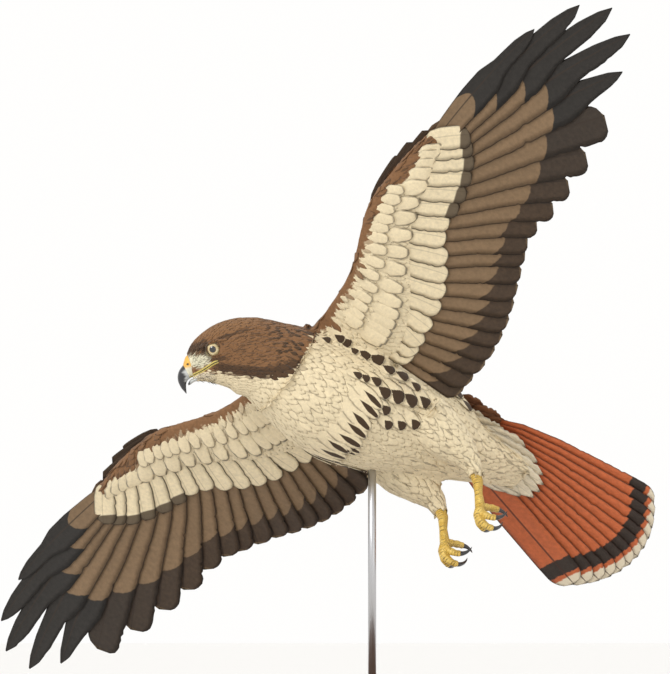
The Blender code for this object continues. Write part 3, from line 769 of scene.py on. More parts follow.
def wing_plumes(side, rng):
    """One wing's primaries and secondaries, its greater coverts on both sides and its alula."""
    plumes = Plumes()
    short_vane = vane_template(COVERT_ROWS, 6)
    place = partial(wing_place, side)
    fingers = len(FINGER_FROM)

    def remex_outline(index, share, length, width):
        if index < fingers:
            return finger_width(share, FINGER_FROM[index])
        return broad_width(share, length, width)

    def remex_look(index):
        dark = PRIMARY_DARK[index] if index < len(PRIMARY_DARK) else SECONDARY_DARK
        black = 1.0 if index < fingers else max(0.0, 0.6 - 0.2 * (index - fingers))
        pale_tip = 0.0 if index < fingers else 1.0
        return varied(FLIGHT_BROWN, rng, 0.06), (dark / DARK_SCALE, black, pale_tip)

    def outline(index, share, length, width):
        return broad_width(share, length, width)

    def under_look(index):
        return varied(CREAM, rng, 0.03), (0.9 if index < 6 else 0.0, 0.0, 0.7)

    def upper_look(index):
        return varied(BACK_BROWN, rng, 0.15), (0.0, 0.0, 0.6)

    def alula_look(index):
        return varied(DARK_BROWN, rng, 0.1), (0.0, 0.0, 0.0)

    remiges = (feather_row(PRIMARY_TIPS, len(PRIMARY_TIPS), PRIMARY_ROOTS)
               + feather_row(SECONDARY_TIPS, SECONDARY_COUNT, SECONDARY_ROOTS))
    flight_vanes(plumes, vane_template(REMEX_ROWS, 8), place, remiges,
                 PRIMARY_WIDTHS + (SECONDARY_WIDTH,) * SECONDARY_COUNT, remex_outline, (0.0, 0.0),
                 remex_look, rng)
    lift = COVERT_LIFT * CM
    for tips, off, look, finish, camber in (
            (UNDER_COVERT_TIPS, -lift, under_look, 2, -0.0006),
            (UPPER_COVERT_TIPS, lift, upper_look, 3, 0.0008)):
        flight_vanes(plumes, short_vane, place, feather_row(tips, COVERT_COUNT, COVERT_ROOTS),
                     [COVERT_WIDTH] * COVERT_COUNT, outline, (off, off), look, rng,
                     finish=(finish, finish), camber=camber)
    for index, tip in enumerate(ALULA_TIPS):
        feather = Vector((5.5 + 0.3 * index, 18.4 - 0.4 * index)) * CM, Vector(tip) * CM
        lifts = (0.45 + 0.13 * index) * CM, (0.80 + 0.13 * index) * CM
        flight_vanes(plumes, short_vane, place, [feather, feather], ALULA_WIDTHS, outline, lifts,
                     alula_look, rng, finish=(3, 3))
    return plumes


def tail_plumes(rng):
    plumes = Plumes()
    fan = feather_fan(TAIL_SPREAD, TAIL_ROUNDING, TAIL_ROOT, [TAIL_LENGTH] * RECTRIX_COUNT)
    flight_vanes(plumes, vane_template(REMEX_ROWS, 8), tail_place, fan,
                 [RECTRIX_WIDTH] * RECTRIX_COUNT,
                 lambda index, share, length, width: broad_width(share, length, width * 0.9),
                 (0.0, 0.0), lambda _: (varied(RUFOUS, rng, 0.05), (0.0, 0.0, 0.0)), rng,
                 lead=0.5, bow=0.0)
    return plumes


def tail_covert_plumes(rng):
    """Rows of long soft coverts over and under the tail's root."""
    plumes = Plumes()
    vane = vane_template(COVERT_ROWS, 6)

    def outline(index, share, length, width):
        return np.interp(share, (0, 0.3, 0.7, 0.88, 1.0), (0.6, 1.0, 0.95, 0.6, 0.06))

    for (reach, root_lift, tip_lift), tone, more, finish in zip(
            TAIL_COVERTS, (PALE, (0.30, 0.13, 0.06)), (-0.12, 0.12), (0, 1)):
        for layer in range(3):
            count = 9 - layer
            reaches = [(reach - 2.0 * layer - rng.uniform(0, 0.5)) * CM for _ in range(count)]
            fan = feather_fan(TAIL_COVERT_SPREAD, TAIL_COVERT_ROUNDING,
                              TAIL_COVERT_ROOT - 1.9 * CM * layer, reaches, 1 + 0.12 * layer)
            lifts = (root_lift + more * layer) * CM, (tip_lift + more * layer) * CM
            flight_vanes(plumes, vane, tail_place, fan, [2.9] * count, outline, lifts,
                         lambda _: (varied(tone, rng, 0.05), (0.0, 0.0, 0.12)), rng, lead=0.5,
                         bow=0.0, finish=(finish, finish), notch=0.12)
    return plumes


# Skin

# The arm's section, as shares of its length back from the front and of its half thickness.
WING_PROFILE = ((0.02, 0.35), (0.12, 0.8), (0.35, 1.0), (0.65, 0.95), (0.88, 0.8), (1.0, 0.5))
BODY_VOXEL = 0.0022
HEAD_VOXEL = 0.0009
FOOT_VOXEL = 0.00055
# The arms' own coat starts this far out from the middle.
ARM_FROM = 7 * CM


def cad_copy(name):
    """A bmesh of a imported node's shape, with its points merged."""
    bm = bmesh.new()
    bm.from_mesh(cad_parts[name].data)
    bmesh.ops.remove_doubles(bm, verts=bm.verts[:], dist=1e-6)
    return bm


def wing_core(side):
    """The wing's arm and hand under the feathers, a little thinner than the solid's."""
    rings = []
    count = 16
    for k in range(count + 1):
        share = k / count
        lead = curve_through(WING_LEADING, share) * CM
        rear = curve_through(WING_REAR, share) * CM
        thick = np.interp(share, np.linspace(0, 1, len(WING_THICKNESS)), WING_THICKNESS)
        half = 0.5 * thick * CM
        out = lead.y if k else 0.5 * CM
        ring = []
        for up, stations in ((1, WING_PROFILE), (-1, WING_PROFILE[::-1])):
            for chord, height in stations:
                spot = wing_place(side, lead.x + (rear.x - lead.x) * chord, out,
                                  up * half * height)
                spot[1] = side * (SHOULDER_OUT + out) if k else side * 2.0 * CM
                ring.append(Vector(moved(spot, BIRD)))
        rings.append(ring)
    return loft(rings)


def tail_core():
    """The rump and the root of the tail."""
    rings = []
    for k in range(7):
        t = k / 6
        centre = Vector((-20.0 - TAIL_CORE_LENGTH * t, 0.0,
                         2.4 * (1 - t) + TAIL_CORE_END * t)) * CM
        width = Vector((0, 4.1 * (1 - 0.45 * t) * CM, 0))
        height = Vector((0, 0, 4.2 * (1 - 0.75 * t ** 0.9) * CM))
        rings.append([bird_matrix() @ point for point in ellipse(centre, width, height, 28)])
    return loft(rings)


def skin_depth(places):
    """How far the skin lies inside the solids at these places of the bird's frame."""
    arm = eased(6.0 * CM, 9.0 * CM, np.abs(places[:, 1]))
    neck = eased(0.0, 6.0 * CM, places[:, 0])
    return 0.0036 - 0.0020 * arm - 0.0012 * neck


def body_skin(finish):
    pieces = [cad_copy(name) for name in ("torso", "neck", "head", "thigh_left", "thigh_right")]
    pieces += [wing_core(1), wing_core(-1), tail_core()]
    skin = add_piece("skin_body", joined(pieces), [finish])
    remeshed(skin, BODY_VOXEL, 6)
    sink(skin, skin_depth(moved(places_of(skin.data), TO_BIRD)))
    unwrap_skin(skin)
    return skin


def head_skin(finish):
    """The head's own fine skin, which dives under the body's skin behind the nape."""
    skin = add_piece("skin_head", joined([cad_copy("head"), cad_copy("neck")]), [finish])
    remeshed(skin, HEAD_VOXEL, 5)
    places = places_of(skin.data)
    nape = eased(-5.0 * CM, -9.0 * CM, moved(places, TO_HEAD)[:, 0])
    breast = eased(4.8 * CM, 1.8 * CM, moved(places, TO_BIRD)[:, 0])
    sink(skin, 0.0011 + 0.0040 * np.maximum(nape, breast))
    bm = bmesh.new()
    bm.from_mesh(skin.data)
    rear = head_matrix() @ Vector((-10.0 * CM, 0, 0))
    away = head_matrix().to_3x3() @ Vector((-1, 0, 0))
    cut = bmesh.ops.bisect_plane(bm, geom=bm.verts[:] + bm.edges[:] + bm.faces[:],
                                 plane_co=rear, plane_no=away, clear_outer=True)
    rim = [item for item in cut["geom_cut"] if isinstance(item, bmesh.types.BMEdge)]
    bmesh.ops.holes_fill(bm, edges=rim, sides=0)
    bm.to_mesh(skin.data)
    bm.free()
    skin.data.update()
    skin.data.shade_smooth()
    unwrap_skin(skin)
    return skin


class Surface:
    """A skin that feathers are set on and follow, read in the bird's frame."""

    def __init__(self, obj):
        mesh = obj.data
        self.points = moved(places_of(mesh), TO_BIRD)
        faces = [tuple(poly.vertices) for poly in mesh.polygons]
        self.tree = BVHTree.FromPolygons([Vector(p) for p in self.points], faces)
        self.vertex_normals = normals_of(mesh) @ TO_BIRD[:3, :3].T
        # A triangle's last corner counts twice.
        self.quads = np.array([face[:3] + face[-1:] for face in faces])
        self.normals = unit(self.vertex_normals[self.quads].mean(axis=1))
        corners = self.points[self.quads]
        self.areas = np.linalg.norm(np.cross(corners[:, 2] - corners[:, 0],
                                             corners[:, 3] - corners[:, 1]), axis=1) / 2
        loops = np.empty(len(mesh.loops) * 2, np.float32)
        mesh.uv_layers["OFBake"].data.foreach_get("uv", loops)
        loops = loops.reshape(-1, 2)
        starts = np.array([poly.loop_start for poly in mesh.polygons])
        self.bake = (loops[starts] + loops[starts + 1] + loops[starts + 2]) / 3

    def candidates(self, count, rng, chosen):
        """Random spots on the chosen faces, with the face of each."""
        weights = self.areas * chosen
        faces = rng.choice(len(weights), count, p=weights / weights.sum())
        corners = self.points[self.quads[faces]]
        u, v = rng.random(count)[:, None], rng.random(count)[:, None]
        low = corners[:, 0] * (1 - u) + corners[:, 1] * u
        high = corners[:, 3] * (1 - u) + corners[:, 2] * u
        return low * (1 - v) + high * v, faces

    def nearest(self, point):
        place, _, index, _ = self.tree.find_nearest(Vector(point))
        return np.array(place), self.normals[index]

    def faces_near(self, points):
        """The nearest places of the surface, with the face of each."""
        found = [self.tree.find_nearest(Vector(point)) for point in points]
        return np.array([item[0] for item in found]), np.array([item[2] for item in found])


NEIGHBOURS = tuple(product((-1, 0, 1), repeat=3))


def thinned(points, spacing):
    """Which of the points, taken in turn, lie their spacing or more from all kept before."""
    cell = float(spacing.max())
    grid, kept = {}, []
    for index, (x, y, z) in enumerate((points // cell).astype(int).tolist()):
        point, least = points[index], spacing[index] ** 2
        near = (points[other] - point for dx, dy, dz in NEIGHBOURS
                for other in grid.get((x + dx, y + dy, z + dz), ()))
        if all(delta @ delta >= least for delta in near):
            grid.setdefault((x, y, z), []).append(index)
            kept.append(index)
    return np.array(kept, int)


def lie_of(place):
    """Which way the coat lies at a place of the bird's frame."""
    forward, across, up = place
    side = 1.0 if across >= 0 else -1.0
    out = abs(across) - SHOULDER_OUT
    way = np.array([-1.0, -0.25 * across / (6 * CM), 0.0])
    if forward > 1.0 * CM and out < 4 * CM:
        way = np.array([-0.95, 0.15, 0.15])
    if out > 2.0 * CM and forward > -9 * CM:
        turn = math.radians(80) * min(max((out - 3 * CM) / (25 * CM), 0.0), 1.0)
        way = np.array([-math.cos(turn), side * math.sin(turn), 0.0])
    if forward < -12 * CM and up < -0.5 * CM and abs(across) > 1.2 * CM:
        share = float(eased(-18.5 * CM, -21.8 * CM, forward))
        way = np.array([-1.0 + 0.45 * share, 0.0, -0.12 - 0.8 * share])
    if forward < -18 * CM and up > 0.0:
        way = np.array([-1.0, 0.0, 0.12])
    return way / np.linalg.norm(way)

BILL_ROOT = np.array((4.3, 0.0, -1.0)) * CM


def lie_of_head(place):
    """The head's feathers lie away from the bill's root."""
    way = moved(np.asarray(place), BIRD_TO_HEAD) - BILL_ROOT
    way = way / np.linalg.norm(way) + np.array((-0.35, 0.0, -0.10))
    return unit(way @ BIRD_TO_HEAD[:3, :3])


COAT_ROWS = 6
# How far a feather's next point may lie off the skin and still follow it, and its tip and stay.
SKIN_REACH = 0.006
LOOSE_TIP = 0.0055


def coat_vanes(plumes, template, surface, roots, faces, length, width, rise, paint, rng,
               lie=lie_of, root_depth=0.0006, droop=0.0005, spread=0.10, tip=0.10, clear=None):
    """Adds small feathers that follow the skin from their roots, each tip raised by its rise.

    paint gives tints and marks from the places and normals of the feathers' shown parts. clear
    says which places no feather may cover.
    """
    count, rows = len(roots), template["rows"]
    shaft, upward, sideways = (np.empty((count, rows + 1, 3)) for _ in range(3))
    for n in range(count):
        place = roots[n]
        first = normal = surface.normals[faces[n]]
        way = lie(place) + rng.normal(0.0, spread, 3)
        for row in range(rows + 1):
            way = way - normal * (way @ normal)
            way = way / max(np.linalg.norm(way), 1e-9)
            shaft[n, row], upward[n, row] = place, normal
            sideways[n, row] = np.cross(normal, way)
            ahead = place + way * (length[n] / rows)
            near, near_normal = surface.nearest(ahead)
            if near_normal @ first > 0.55 and np.linalg.norm(near - ahead) < SKIN_REACH:
                place, normal = near, unit(normal * 0.4 + near_normal * 0.6)
            else:
                place = ahead
    shown = round(rows * 0.7)
    tint, mark = paint(shaft[:, shown], upward[:, shown])
    held = np.array([np.linalg.norm(surface.nearest(point)[0] - point)
                     for point in shaft[:, -1]]) < LOOSE_TIP
    if clear is not None:
        for row in range(1, rows + 1):
            held &= ~clear(shaft[:, row])
    shaft, upward, sideways, tint, mark, faces, width, rise = (values[held] for values in (
        shaft, upward, sideways, tint, mark, faces, width, rise))
    share, across, row = template["along"], template["across"], template["row"]
    profile = np.interp(share, (0.0, 0.15, 0.45, 0.7, 0.88, 1.0),
                        (0.35, 0.75, 1.0, 0.93, 0.52 + 0.6 * tip, tip))
    jitter = 1 + rng.normal(0.0, 0.05, (len(faces), rows + 1))[:, row]
    offset = across * profile * width[:, None] / 2 * jitter
    height = (-root_depth + (rise[:, None] + root_depth) * share ** 0.9
              + template["side"] * 0.00012 + (1 - np.abs(across)) * 0.0002
              - droop * across ** 2 * (width[:, None] / 0.014))
    points = (shaft[:, row] + sideways[:, row] * offset[..., None]
              + upward[:, row] * height[..., None])
    vane = np.broadcast_to(np.stack([share, (across + 1) / 2], -1), (len(faces), len(share), 2))
    patch = np.stack([share - 0.5, across / 2], -1) * BAKE_PATCH
    plumes.add(template, points, vane, surface.bake[faces][:, None] + patch, tint, mark)


# Markings

# Where the hood ends on each side, as centimetres forward and up in the head's frame.
HOOD_EDGE_LEFT = ((-9.9, -0.8), (-8.3, -2.0), (-7.3, -2.86), (-6.8, -3.9), (-5.7, -4.26),
                  (-3.5, -4.2), (-0.6, -3.17), (2.8, -1.7), (4.6, -1.9))
HOOD_EDGE_RIGHT = ((-3.4, -8.5), (0.4, -4.3), (2.8, -1.7), (4.6, -1.9))
# Where the torso's sections have their middles, by distance forward.
BELLY_STATIONS = (-28, -20, -18, -15, -11, -7, -3, 1)
BELLY_MIDDLES = (5.2, 2.4, 2.2, 1.4, -0.1, -2.0, -3.1, -3.3)
# The dark marks of the belly's band: centimetres forward, degrees round from the keel and size,
# as broad drops on the flanks and as long streaks under the belly.
FLANK_DROPS = ((0.3, 110, 0.6), (-0.6, 111, 0.75), (-1.6, 108, 0.8), (-3.1, 109, 0.55),
               (-4.2, 106, 0.85), (-5.5, 104, 1.1), (-6.6, 112, 1.2), (-7.2, 98, 1.0),
               (-8.2, 111, 1.3), (-8.8, 92, 1.1), (-10.1, 109, 1.4), (-11.9, 108, 1.2),
               (-13.5, 106, 1.4), (-15.4, 114, 1.5), (-17.3, 110, 1.1), (-4.3, 75, 0.6),
               (-5.2, 76, 0.65), (-6.4, 77, 0.85), (-10.6, 87, 0.8), (-7.8, 69, 1.1),
               (-9.2, 69, 1.3), (-8.9, 51, 0.8), (-10.8, 67, 1.3), (-12.4, 71, 1.2),
               (-10.1, 39, 0.75), (-11.4, 42, 0.75), (-12.6, 48, 0.8))
BELLY_STREAKS = ((-7.3, 58, 1.1), (-7.6, 46, 1.2), (-7.7, 34, 1.2), (-7.9, 23, 1.2),
                 (-8.0, 11, 1.3), (-7.6, -2, 1.2), (-8.7, 3, 0.8))


def hood_share(spots, rng):
    """How brown the head and neck are at these places of the head's frame, in centimetres."""
    x, y, z = spots.T
    edge = np.where(y > 0, np.interp(x, *zip(*HOOD_EDGE_LEFT)),
                    np.interp(x, *zip(*HOOD_EDGE_RIGHT)))
    return eased(-0.15, 0.15, z - edge + rng.normal(0, 0.16, len(x)))


def head_paint(spots, rng):
    """Tint and mark of the head and neck from places of the head's frame, in centimetres."""
    x, y, z = spots.T
    count = len(x)
    hood = hood_share(spots, rng)

    def near(x0, z0, x1, z1, reach):
        """Falls from 1 on the line from one point to the other to 0 at this distance."""
        run = np.array((x1 - x0, z1 - z0))
        t = np.clip(((x - x0) * run[0] + (z - z0) * run[1]) / (run @ run), 0.0, 1.0)
        away = np.hypot(x - x0 - run[0] * t, z - z0 - run[1] * t)
        return eased(reach, reach * 0.4, away + rng.normal(0, reach * 0.12, count))

    edge = np.interp(x, *zip(*HOOD_EDGE_LEFT))
    malar = hood * eased(1.5, 0.9, z - edge) * eased(2.4, 1.2, x) * eased(-7.6, -6.2, x)
    tint = blended(
        all_one(CREAM, x), (HOOD_BROWN, hood),
        ((0.30, 0.155, 0.066), hood * eased(1.2, 2.6, z) * 0.5),
        (HOOD_DARK, malar * 0.85),
        # Painted shade of the brow ridge, from the forehead back to the top of the eye's front.
        (HOOD_DARK, hood * near(4.3, 0.95, 2.4, 1.25, 0.72) * 0.85),
        (HOOD_DARK, near(2.5, 0.7, 2.3, -0.35, 0.34) * 0.85),
        (HOOD_DARK, near(2.2, -0.6, 0.7, -0.75, 0.34) * 0.75),
        (HOOD_DARK, near(0.6, 1.35, -2.4, 1.6, 0.22) * 0.8),
        (HOOD_DARK, near(0.6, 0.9, 0.2, 0.1, 0.16) * 0.7),
        ((0.80, 0.76, 0.56), near(3.9, -0.2, 2.9, -0.55, 0.95) * eased(0.95, 0.45, z) * 0.95),
        (PALE, near(4.3, -1.9, 2.2, -2.3, 0.42) * eased(2.0, 2.8, x)))
    nape = hood * eased(-3.6, -5.0, x) * eased(-3.4, -2.6, z)
    drops = nape * (rng.random(count) < 0.42) * 0.9
    cheek = hood * (x < 0.5) * (x > -7) * (z < 1.5) * (rng.random(count) < 0.22)
    chin = (1 - hood) * (x < 3.8) * (x > 0) * (np.abs(y) < 1.2) * (rng.random(count) < 0.35)
    streaks = np.maximum(cheek * (drops == 0) * 0.7, chin * 0.8)
    return tint, np.stack([drops, np.zeros(count), streaks], axis=-1)


def plumage(places, normals, rng):
    """Tint and mark of the coat at these places of the bird's frame."""
    count = len(places)
    forward, across, up = (places / CM).T
    out = np.abs(across) - SHOULDER_OUT / CM
    thigh = (forward < -12.0) & (up < -0.8)
    back = eased(0.05, -0.15, rng.normal(0, 0.05, count) - normals[:, 2]) * ~thigh
    middle = np.interp(forward, BELLY_STATIONS, BELLY_MIDDLES)
    turn = np.abs(np.degrees(np.arctan2(across, middle - up))) + rng.normal(0, 2.0, count)
    back = np.where(np.abs(across) < 7.2, eased(121, 129, turn) * ~thigh, back)
    dark = back * (rng.random(count) < 0.4)
    mottle = (rng.random(count) < 0.30) & (back > 0.5) & (out > -2.6) & (out < 4)
    mottle &= (forward < -1.0) & (forward > -14)
    lead = value_at(WING_LEADING, np.clip(out, 3.0, 29.6))
    teeth = 0.28 * np.sin(out * 6.0) + rng.normal(0, 0.12, count)
    width = 1.35 + 0.5 * eased(13.0, 19.0, out)
    strip = (out > 2.5) * eased(0.2, -0.2, lead - forward - width + teeth)
    tint = blended(all_one(CREAM, places), (BACK_BROWN, back), ((0.17, 0.10, 0.055), dark),
                   ((0.52, 0.42, 0.30), mottle * 0.75),
                   ((0.40, 0.19, 0.09), back * eased(-17.5, -20.0, forward) * 0.8),
                   (HOOD_BROWN, strip))
    streaks = strip * (1 - back) * (rng.random(count) < 0.3) * 0.6
    strokes = (1 - back) * (forward < -15.0) * (rng.random(count) < 0.10)
    mark = np.stack([np.zeros(count), back * 0.35, np.maximum(streaks, strokes * 0.5)], axis=-1)
    tint = tint * (1 + rng.normal(0, 0.03, (count, 1)))
    spots = in_head(places)
    neck = (forward > 0.6) & (out < 3.2)
    neck |= (forward > -3.0) & (out < 3.2) & (across > 0) & (hood_share(spots, rng) > 0.5)
    if neck.any():
        tint[neck], mark[neck] = head_paint(spots[neck], rng)
    return np.clip(tint, 0, 1), mark


def coat_on(surface, name, chosen, spacing, sizes, template, finish, rng, skip, tries=60000,
            lie=lie_of, **more):
    """One piece of coat over the chosen faces of the skin, but none where skip says so.

    sizes are a feather's length, width and rise in multiples of its spacing.
    """
    points, faces = surface.candidates(tries, rng, chosen)
    coated = ~skip(points)
    points, faces = points[coated], faces[coated]
    gaps = spacing(points)
    kept = thinned(points, gaps)
    size = gaps[kept] * rng.uniform(0.88, 1.12, len(kept))
    plumes = Plumes()
    coat_vanes(plumes, template, surface, points[kept], faces[kept],
               *(times * size for times in sizes),
               lambda places, normals: plumage(places, normals, rng), rng, lie, **more)
    return plumes.build(name, BIRD, [finish])


def belly_place(surface, forward, turn):
    """The skin's place at this distance forward and this angle round from the keel."""
    middle = np.interp(forward, BELLY_STATIONS, BELLY_MIDDLES)
    angle = math.radians(turn)
    start = Vector((forward, 0.0, middle)) * CM
    way = Vector((0.0, math.sin(angle), -math.cos(angle)))
    hit = surface.tree.ray_cast(start, way)[0]
    return np.array(hit)


def cream_coats(places, rng, marks):
    """Tints of cream feathers with these marks."""
    return np.array([varied(CREAM, rng, 0.03) for _ in places]), marks


def belly_band(surface, template, finish, rng):
    """The band of larger feathers over the belly whose shown parts carry the dark marks."""
    found = []
    for marks, streak in ((FLANK_DROPS, 0.0), (BELLY_STREAKS, 1.0)):
        for forward, turn, size in marks:
            found.append((*belly_place(surface, forward, turn), size, streak))
            forward += rng.normal(0, 0.25)
            turn += rng.normal(0, 2.0)
            size *= rng.uniform(0.85, 1.1)
            found.append((*belly_place(surface, forward, -turn), size, streak))
    found = np.array(found)
    starts, sizes, streaks = found[:, :3], found[:, 3], found[:, 4]
    length = (0.010 + 0.0215 * sizes) * (1 + 0.35 * streaks)
    width = (0.0040 + 0.0150 * sizes) * (1 - 0.15 * streaks)
    roots, faces = surface.faces_near([start - lie_of(start) * reach * 0.76
                                       for start, reach in zip(starts, length)])
    tilt = surface.normals[faces][:, 2]
    beneath = (tilt < 0.35) | ((tilt < 0.8) & (roots[:, 0] < -9.5 * CM))
    roots, faces, sizes, streaks, length, width = (values[beneath] for values in (
        roots, faces, sizes, streaks, length, width))
    marks = np.stack([1.0 - streaks, 0.0 * streaks, streaks], axis=-1)
    plumes = Plumes()
    coat_vanes(plumes, template, surface, roots, faces, length, width, 0.0022 * sizes + 0.0012,
               lambda places, _: cream_coats(places, rng, marks), rng, spread=0.04, tip=0.32)
    return plumes.build("coat_spotted", BIRD, [finish])


# The lines that the tips of the lesser rows of coverts follow under the arm.
MEDIAN_LINE = ((5.4, 29.6), (4.6, 27.1), (2.9, 22.0), (0.2, 16.6), (-2.8, 11.2), (-4.3, 7.3),
               (-4.7, 4.6))
LESSER_LINE = ((5.6, 22.5), (4.2, 19.0), (2.6, 15.6), (0.4, 11.2), (-0.9, 7.3), (-1.4, 4.8))
# Each row's line, count, length and width of feathers, and how dark their rims are.
LESSER_ROWS = ((MEDIAN_LINE, 17, 0.034, 0.0195, 0.5), (LESSER_LINE, 15, 0.024, 0.0150, 0.25))


def covert_rows(surface, side, template, finish, rng):
    """Rows of rounded coverts with dark rims under the arm, their tips along drawn lines."""
    plumes = Plumes()
    for line, count, length, width, rim in LESSER_ROWS:
        starts = []
        for k in range(count):
            forward, out = curve_through(line, k / (count - 1)) * CM
            tip = wing_place(side, forward, out, -3 * CM)
            starts.append(tip - lie_of(tip) * length * 0.93)
        roots, faces = surface.faces_near(starts)
        size = rng.uniform(0.93, 1.07, count)
        marks = np.tile((0.0, rim, 0.0), (count, 1))
        coat_vanes(plumes, template, surface, roots, faces, length * size, width * size,
                   0.0030 * size, lambda places, _: cream_coats(places, rng, marks), rng,
                   spread=0.02, tip=0.35)
    return plumes.build("coverts_" + SIDES[side], BIRD, [finish])


# Head

def tube(path, radii, sides=12):
    """A closed round tube along the path, with a radius for each of its points."""
    rings = []
    across = None
    for k, (point, radius) in enumerate(zip(path, radii)):
        ahead = (path[min(k + 1, len(path) - 1)] - path[max(k - 1, 0)]).normalized()
        if across is None:
            across = ahead.orthogonal().normalized()
        across = (across - ahead * across.dot(ahead)).normalized()
        rings.append(ellipse(point, across * radius, ahead.cross(across) * radius, sides))
    return loft(rings)


def smooth_tube(path, radii, count, sides=14):
    """A tube through a curve of this many rings along the path's points."""
    points = [curve_through(path, k / (count - 1)) for k in range(count)]
    sizes = np.interp(np.linspace(0, 1, count), np.linspace(0, 1, len(radii)), radii)
    return tube(points, list(sizes), sides)


def placed(bm, matrix):
    bmesh.ops.transform(bm, matrix=matrix, verts=bm.verts[:])
    return bm


def bill_loft(rows, count, sides, inset):
    """A dense closed loft through the bill's rings, a little thinner than the solid's."""
    flat = [(*top, *low, width) for top, low, width in rows]
    rings = []
    for k in range(count):
        share = inset / 2 + (1 - inset) * k / (count - 1)
        top_x, top_z, low_x, low_z, width = curve_through(flat, share)
        top, low = Vector((top_x, 0, top_z)), Vector((low_x, 0, low_z))
        middle, half = (top + low) / 2 * CM, (top - low) / 2 * CM * SLIMMER
        rings.append(ellipse(middle, Vector((0, width * CM * SLIMMER, 0)), half, sides))
    return loft(rings)


def head_spots(obj):
    """The piece's points in the head's frame, in centimetres."""
    return moved(places_of(obj.data), TO_HEAD) / CM

def make_cere(finish):
    cere = add_piece("cere_skin", placed(bill_loft((CERE_ROOT, *CERE), 60, 96, 0.02),
                                         head_matrix()), [finish])
    spots = head_spots(cere)
    x, y, z = spots.T
    away = np.hypot((x - NOSTRIL[0]) / 0.17, (z - NOSTRIL[1]) / 0.125)
    # hole dents the nostril into the cere and also paints it near black, as painted shade in its
    # hollow.
    hole = eased(1.1, 0.5, away)
    ridge = eased(1.9, 1.3, away) * eased(1.0, 1.3, away)
    spots[:, 1] -= (0.09 * hole - 0.02 * ridge) * np.sign(y)
    put_places(cere.data, moved(spots * CM, HEAD))
    # The near-black laid over the nostril is painted shade.
    paint_points(cere.data, "tint", blended(
        all_one((0.70, 0.66, 0.50), x), ((0.78, 0.43, 0.07), eased(-0.95, -0.55, z)),
        ((0.52, 0.42, 0.11), eased(-1.62, -1.78, z)), ((0.018, 0.013, 0.010), hole)))
    return cere


def make_bill(finish):
    """The upper bill and the lower one, black with a pale base by the mouth."""
    pieces = []
    for name, rows, count in (("bill_upper", (UPPER_ROOT, *BEAK_UPPER), 70),
                              ("bill_lower", (LOWER_ROOT, *BEAK_LOWER), 36)):
        piece = add_piece(name, placed(bill_loft(rows, count, 56, 0.0), head_matrix()), [finish])
        x, _, z = head_spots(piece).T
        pale = eased(4.98, 4.72, x)
        if name == "bill_upper":
            grain = 0.10 * np.sin(z * 7.0) + 0.05 * np.sin(z * 19.0 + 1.0)
            pale = eased(5.42, 5.02, x + grain) * eased(-0.75, -1.15, z)
        paint_points(piece.data, "tint", blended(all_one((0.016, 0.015, 0.017), x),
                                                 ((0.55, 0.56, 0.54), pale * 0.9)))
        pieces.append(piece)
    return pieces


def eye_axis(side):
    return Vector((0.15, side, 0.0)).normalized()


def eye_place(side):
    return Vector((EYE_AT.x, side * EYE_AT.y, EYE_AT.z))


def eye_frame(side, up):
    """The eye's frame in the world, with its Z outward and this axis of it upward."""
    turn = eye_axis(side).to_track_quat("Z", up).to_matrix().to_4x4()
    return head_matrix() @ Matrix.Translation(eye_place(side)) @ turn


def eye_finish():
    """A pale iris with fine fibres round a black pupil, under a clear wet coat."""
    made = new_material("eye_glass", 0.12, 0.6, Coat_Weight=1.0, Coat_Roughness=0.03)
    away, angle, _ = painted(made, "gaze").parts()
    fibres = angle.waves(1 / 70) * 0.16 + noise(made, 1500.0)
    colour = mixed(fibres.step(0.25, 0.85), (0.50, 0.36, 0.14), (0.88, 0.78, 0.50))
    colour = mixed(away.step(0.52, 0.44), colour, (0.42, 0.27, 0.09))
    colour = mixed(away.step(0.83, 0.91), colour, (0.035, 0.022, 0.014))
    return finished(made, mixed(away.step(0.45, 0.42), colour, (0.004, 0.004, 0.004)))


def make_eye(side, finish):
    where = eye_frame(side, "Y")
    bm = bmesh.new()
    bmesh.ops.create_uvsphere(bm, u_segments=96, v_segments=72, radius=EYE_RADIUS * SLIMMER)
    eye = add_piece("eyeball_" + SIDES[side], placed(bm, where), [finish])
    x, y, z = (moved(places_of(eye.data), np.linalg.inv(np.array(where))) / EYE_RADIUS).T
    away = np.where(z > 0, np.hypot(x, y), 1.0)
    paint_points(eye.data, "gaze", away, np.arctan2(y, x) / (2 * math.pi) + 0.5, away)
    return eye


def make_lids(side, finish):
    """Two lids round the eye in one ring: a thick heavy upper one and a thin lower one."""
    where = eye_frame(side, "X")
    up = where.inverted().to_3x3() @ (head_matrix().to_3x3() @ Vector((0, 0, 1)))
    start = math.atan2(up.y, up.x)
    bm = bmesh.new()
    loops = []
    count, sides = 72, 12
    for k in range(count):
        angle = 2 * math.pi * k / count
        lift = max(math.cos(angle - start), 0.0)
        thick = (0.060 + 0.035 * lift) * CM
        reach = (0.725 - 0.035 * lift) * CM
        out = Vector((math.cos(angle), math.sin(angle), 0.0))
        centre = out * (reach + thick * 0.7) + Vector((0, 0, (0.40 + 0.05 * lift) * CM))
        verts = [bm.verts.new(point) for point in ellipse(
            centre, out * thick * 1.7, Vector((0, 0, thick * 1.2)), sides)]
        loops.append([bm.edges.new(pair) for pair in zip(verts, verts[1:] + verts[:1])])
    for k in range(count):
        bmesh.ops.bridge_loops(bm, edges=loops[k] + loops[(k + 1) % count])
    bmesh.ops.recalc_face_normals(bm, faces=bm.faces[:])
    lids = add_piece("lids_" + SIDES[side], placed(bm, where), [finish])
    z = head_spots(lids)[:, 2] - EYE_AT.z / CM
    paint_points(lids.data, "tint", blended(all_one((0.075, 0.050, 0.030), z),
                                            ((0.40, 0.33, 0.13), eased(0.2, -0.4, z) * 0.5)))
    return lids


# The line of the mouth back from the bill, as centimetres forward and up in the head's frame.
MOUTH = ((4.45, -1.75), (3.9, -1.62), (3.2, -1.46), (2.5, -1.22), (1.9, -1.02), (1.4, -0.98))
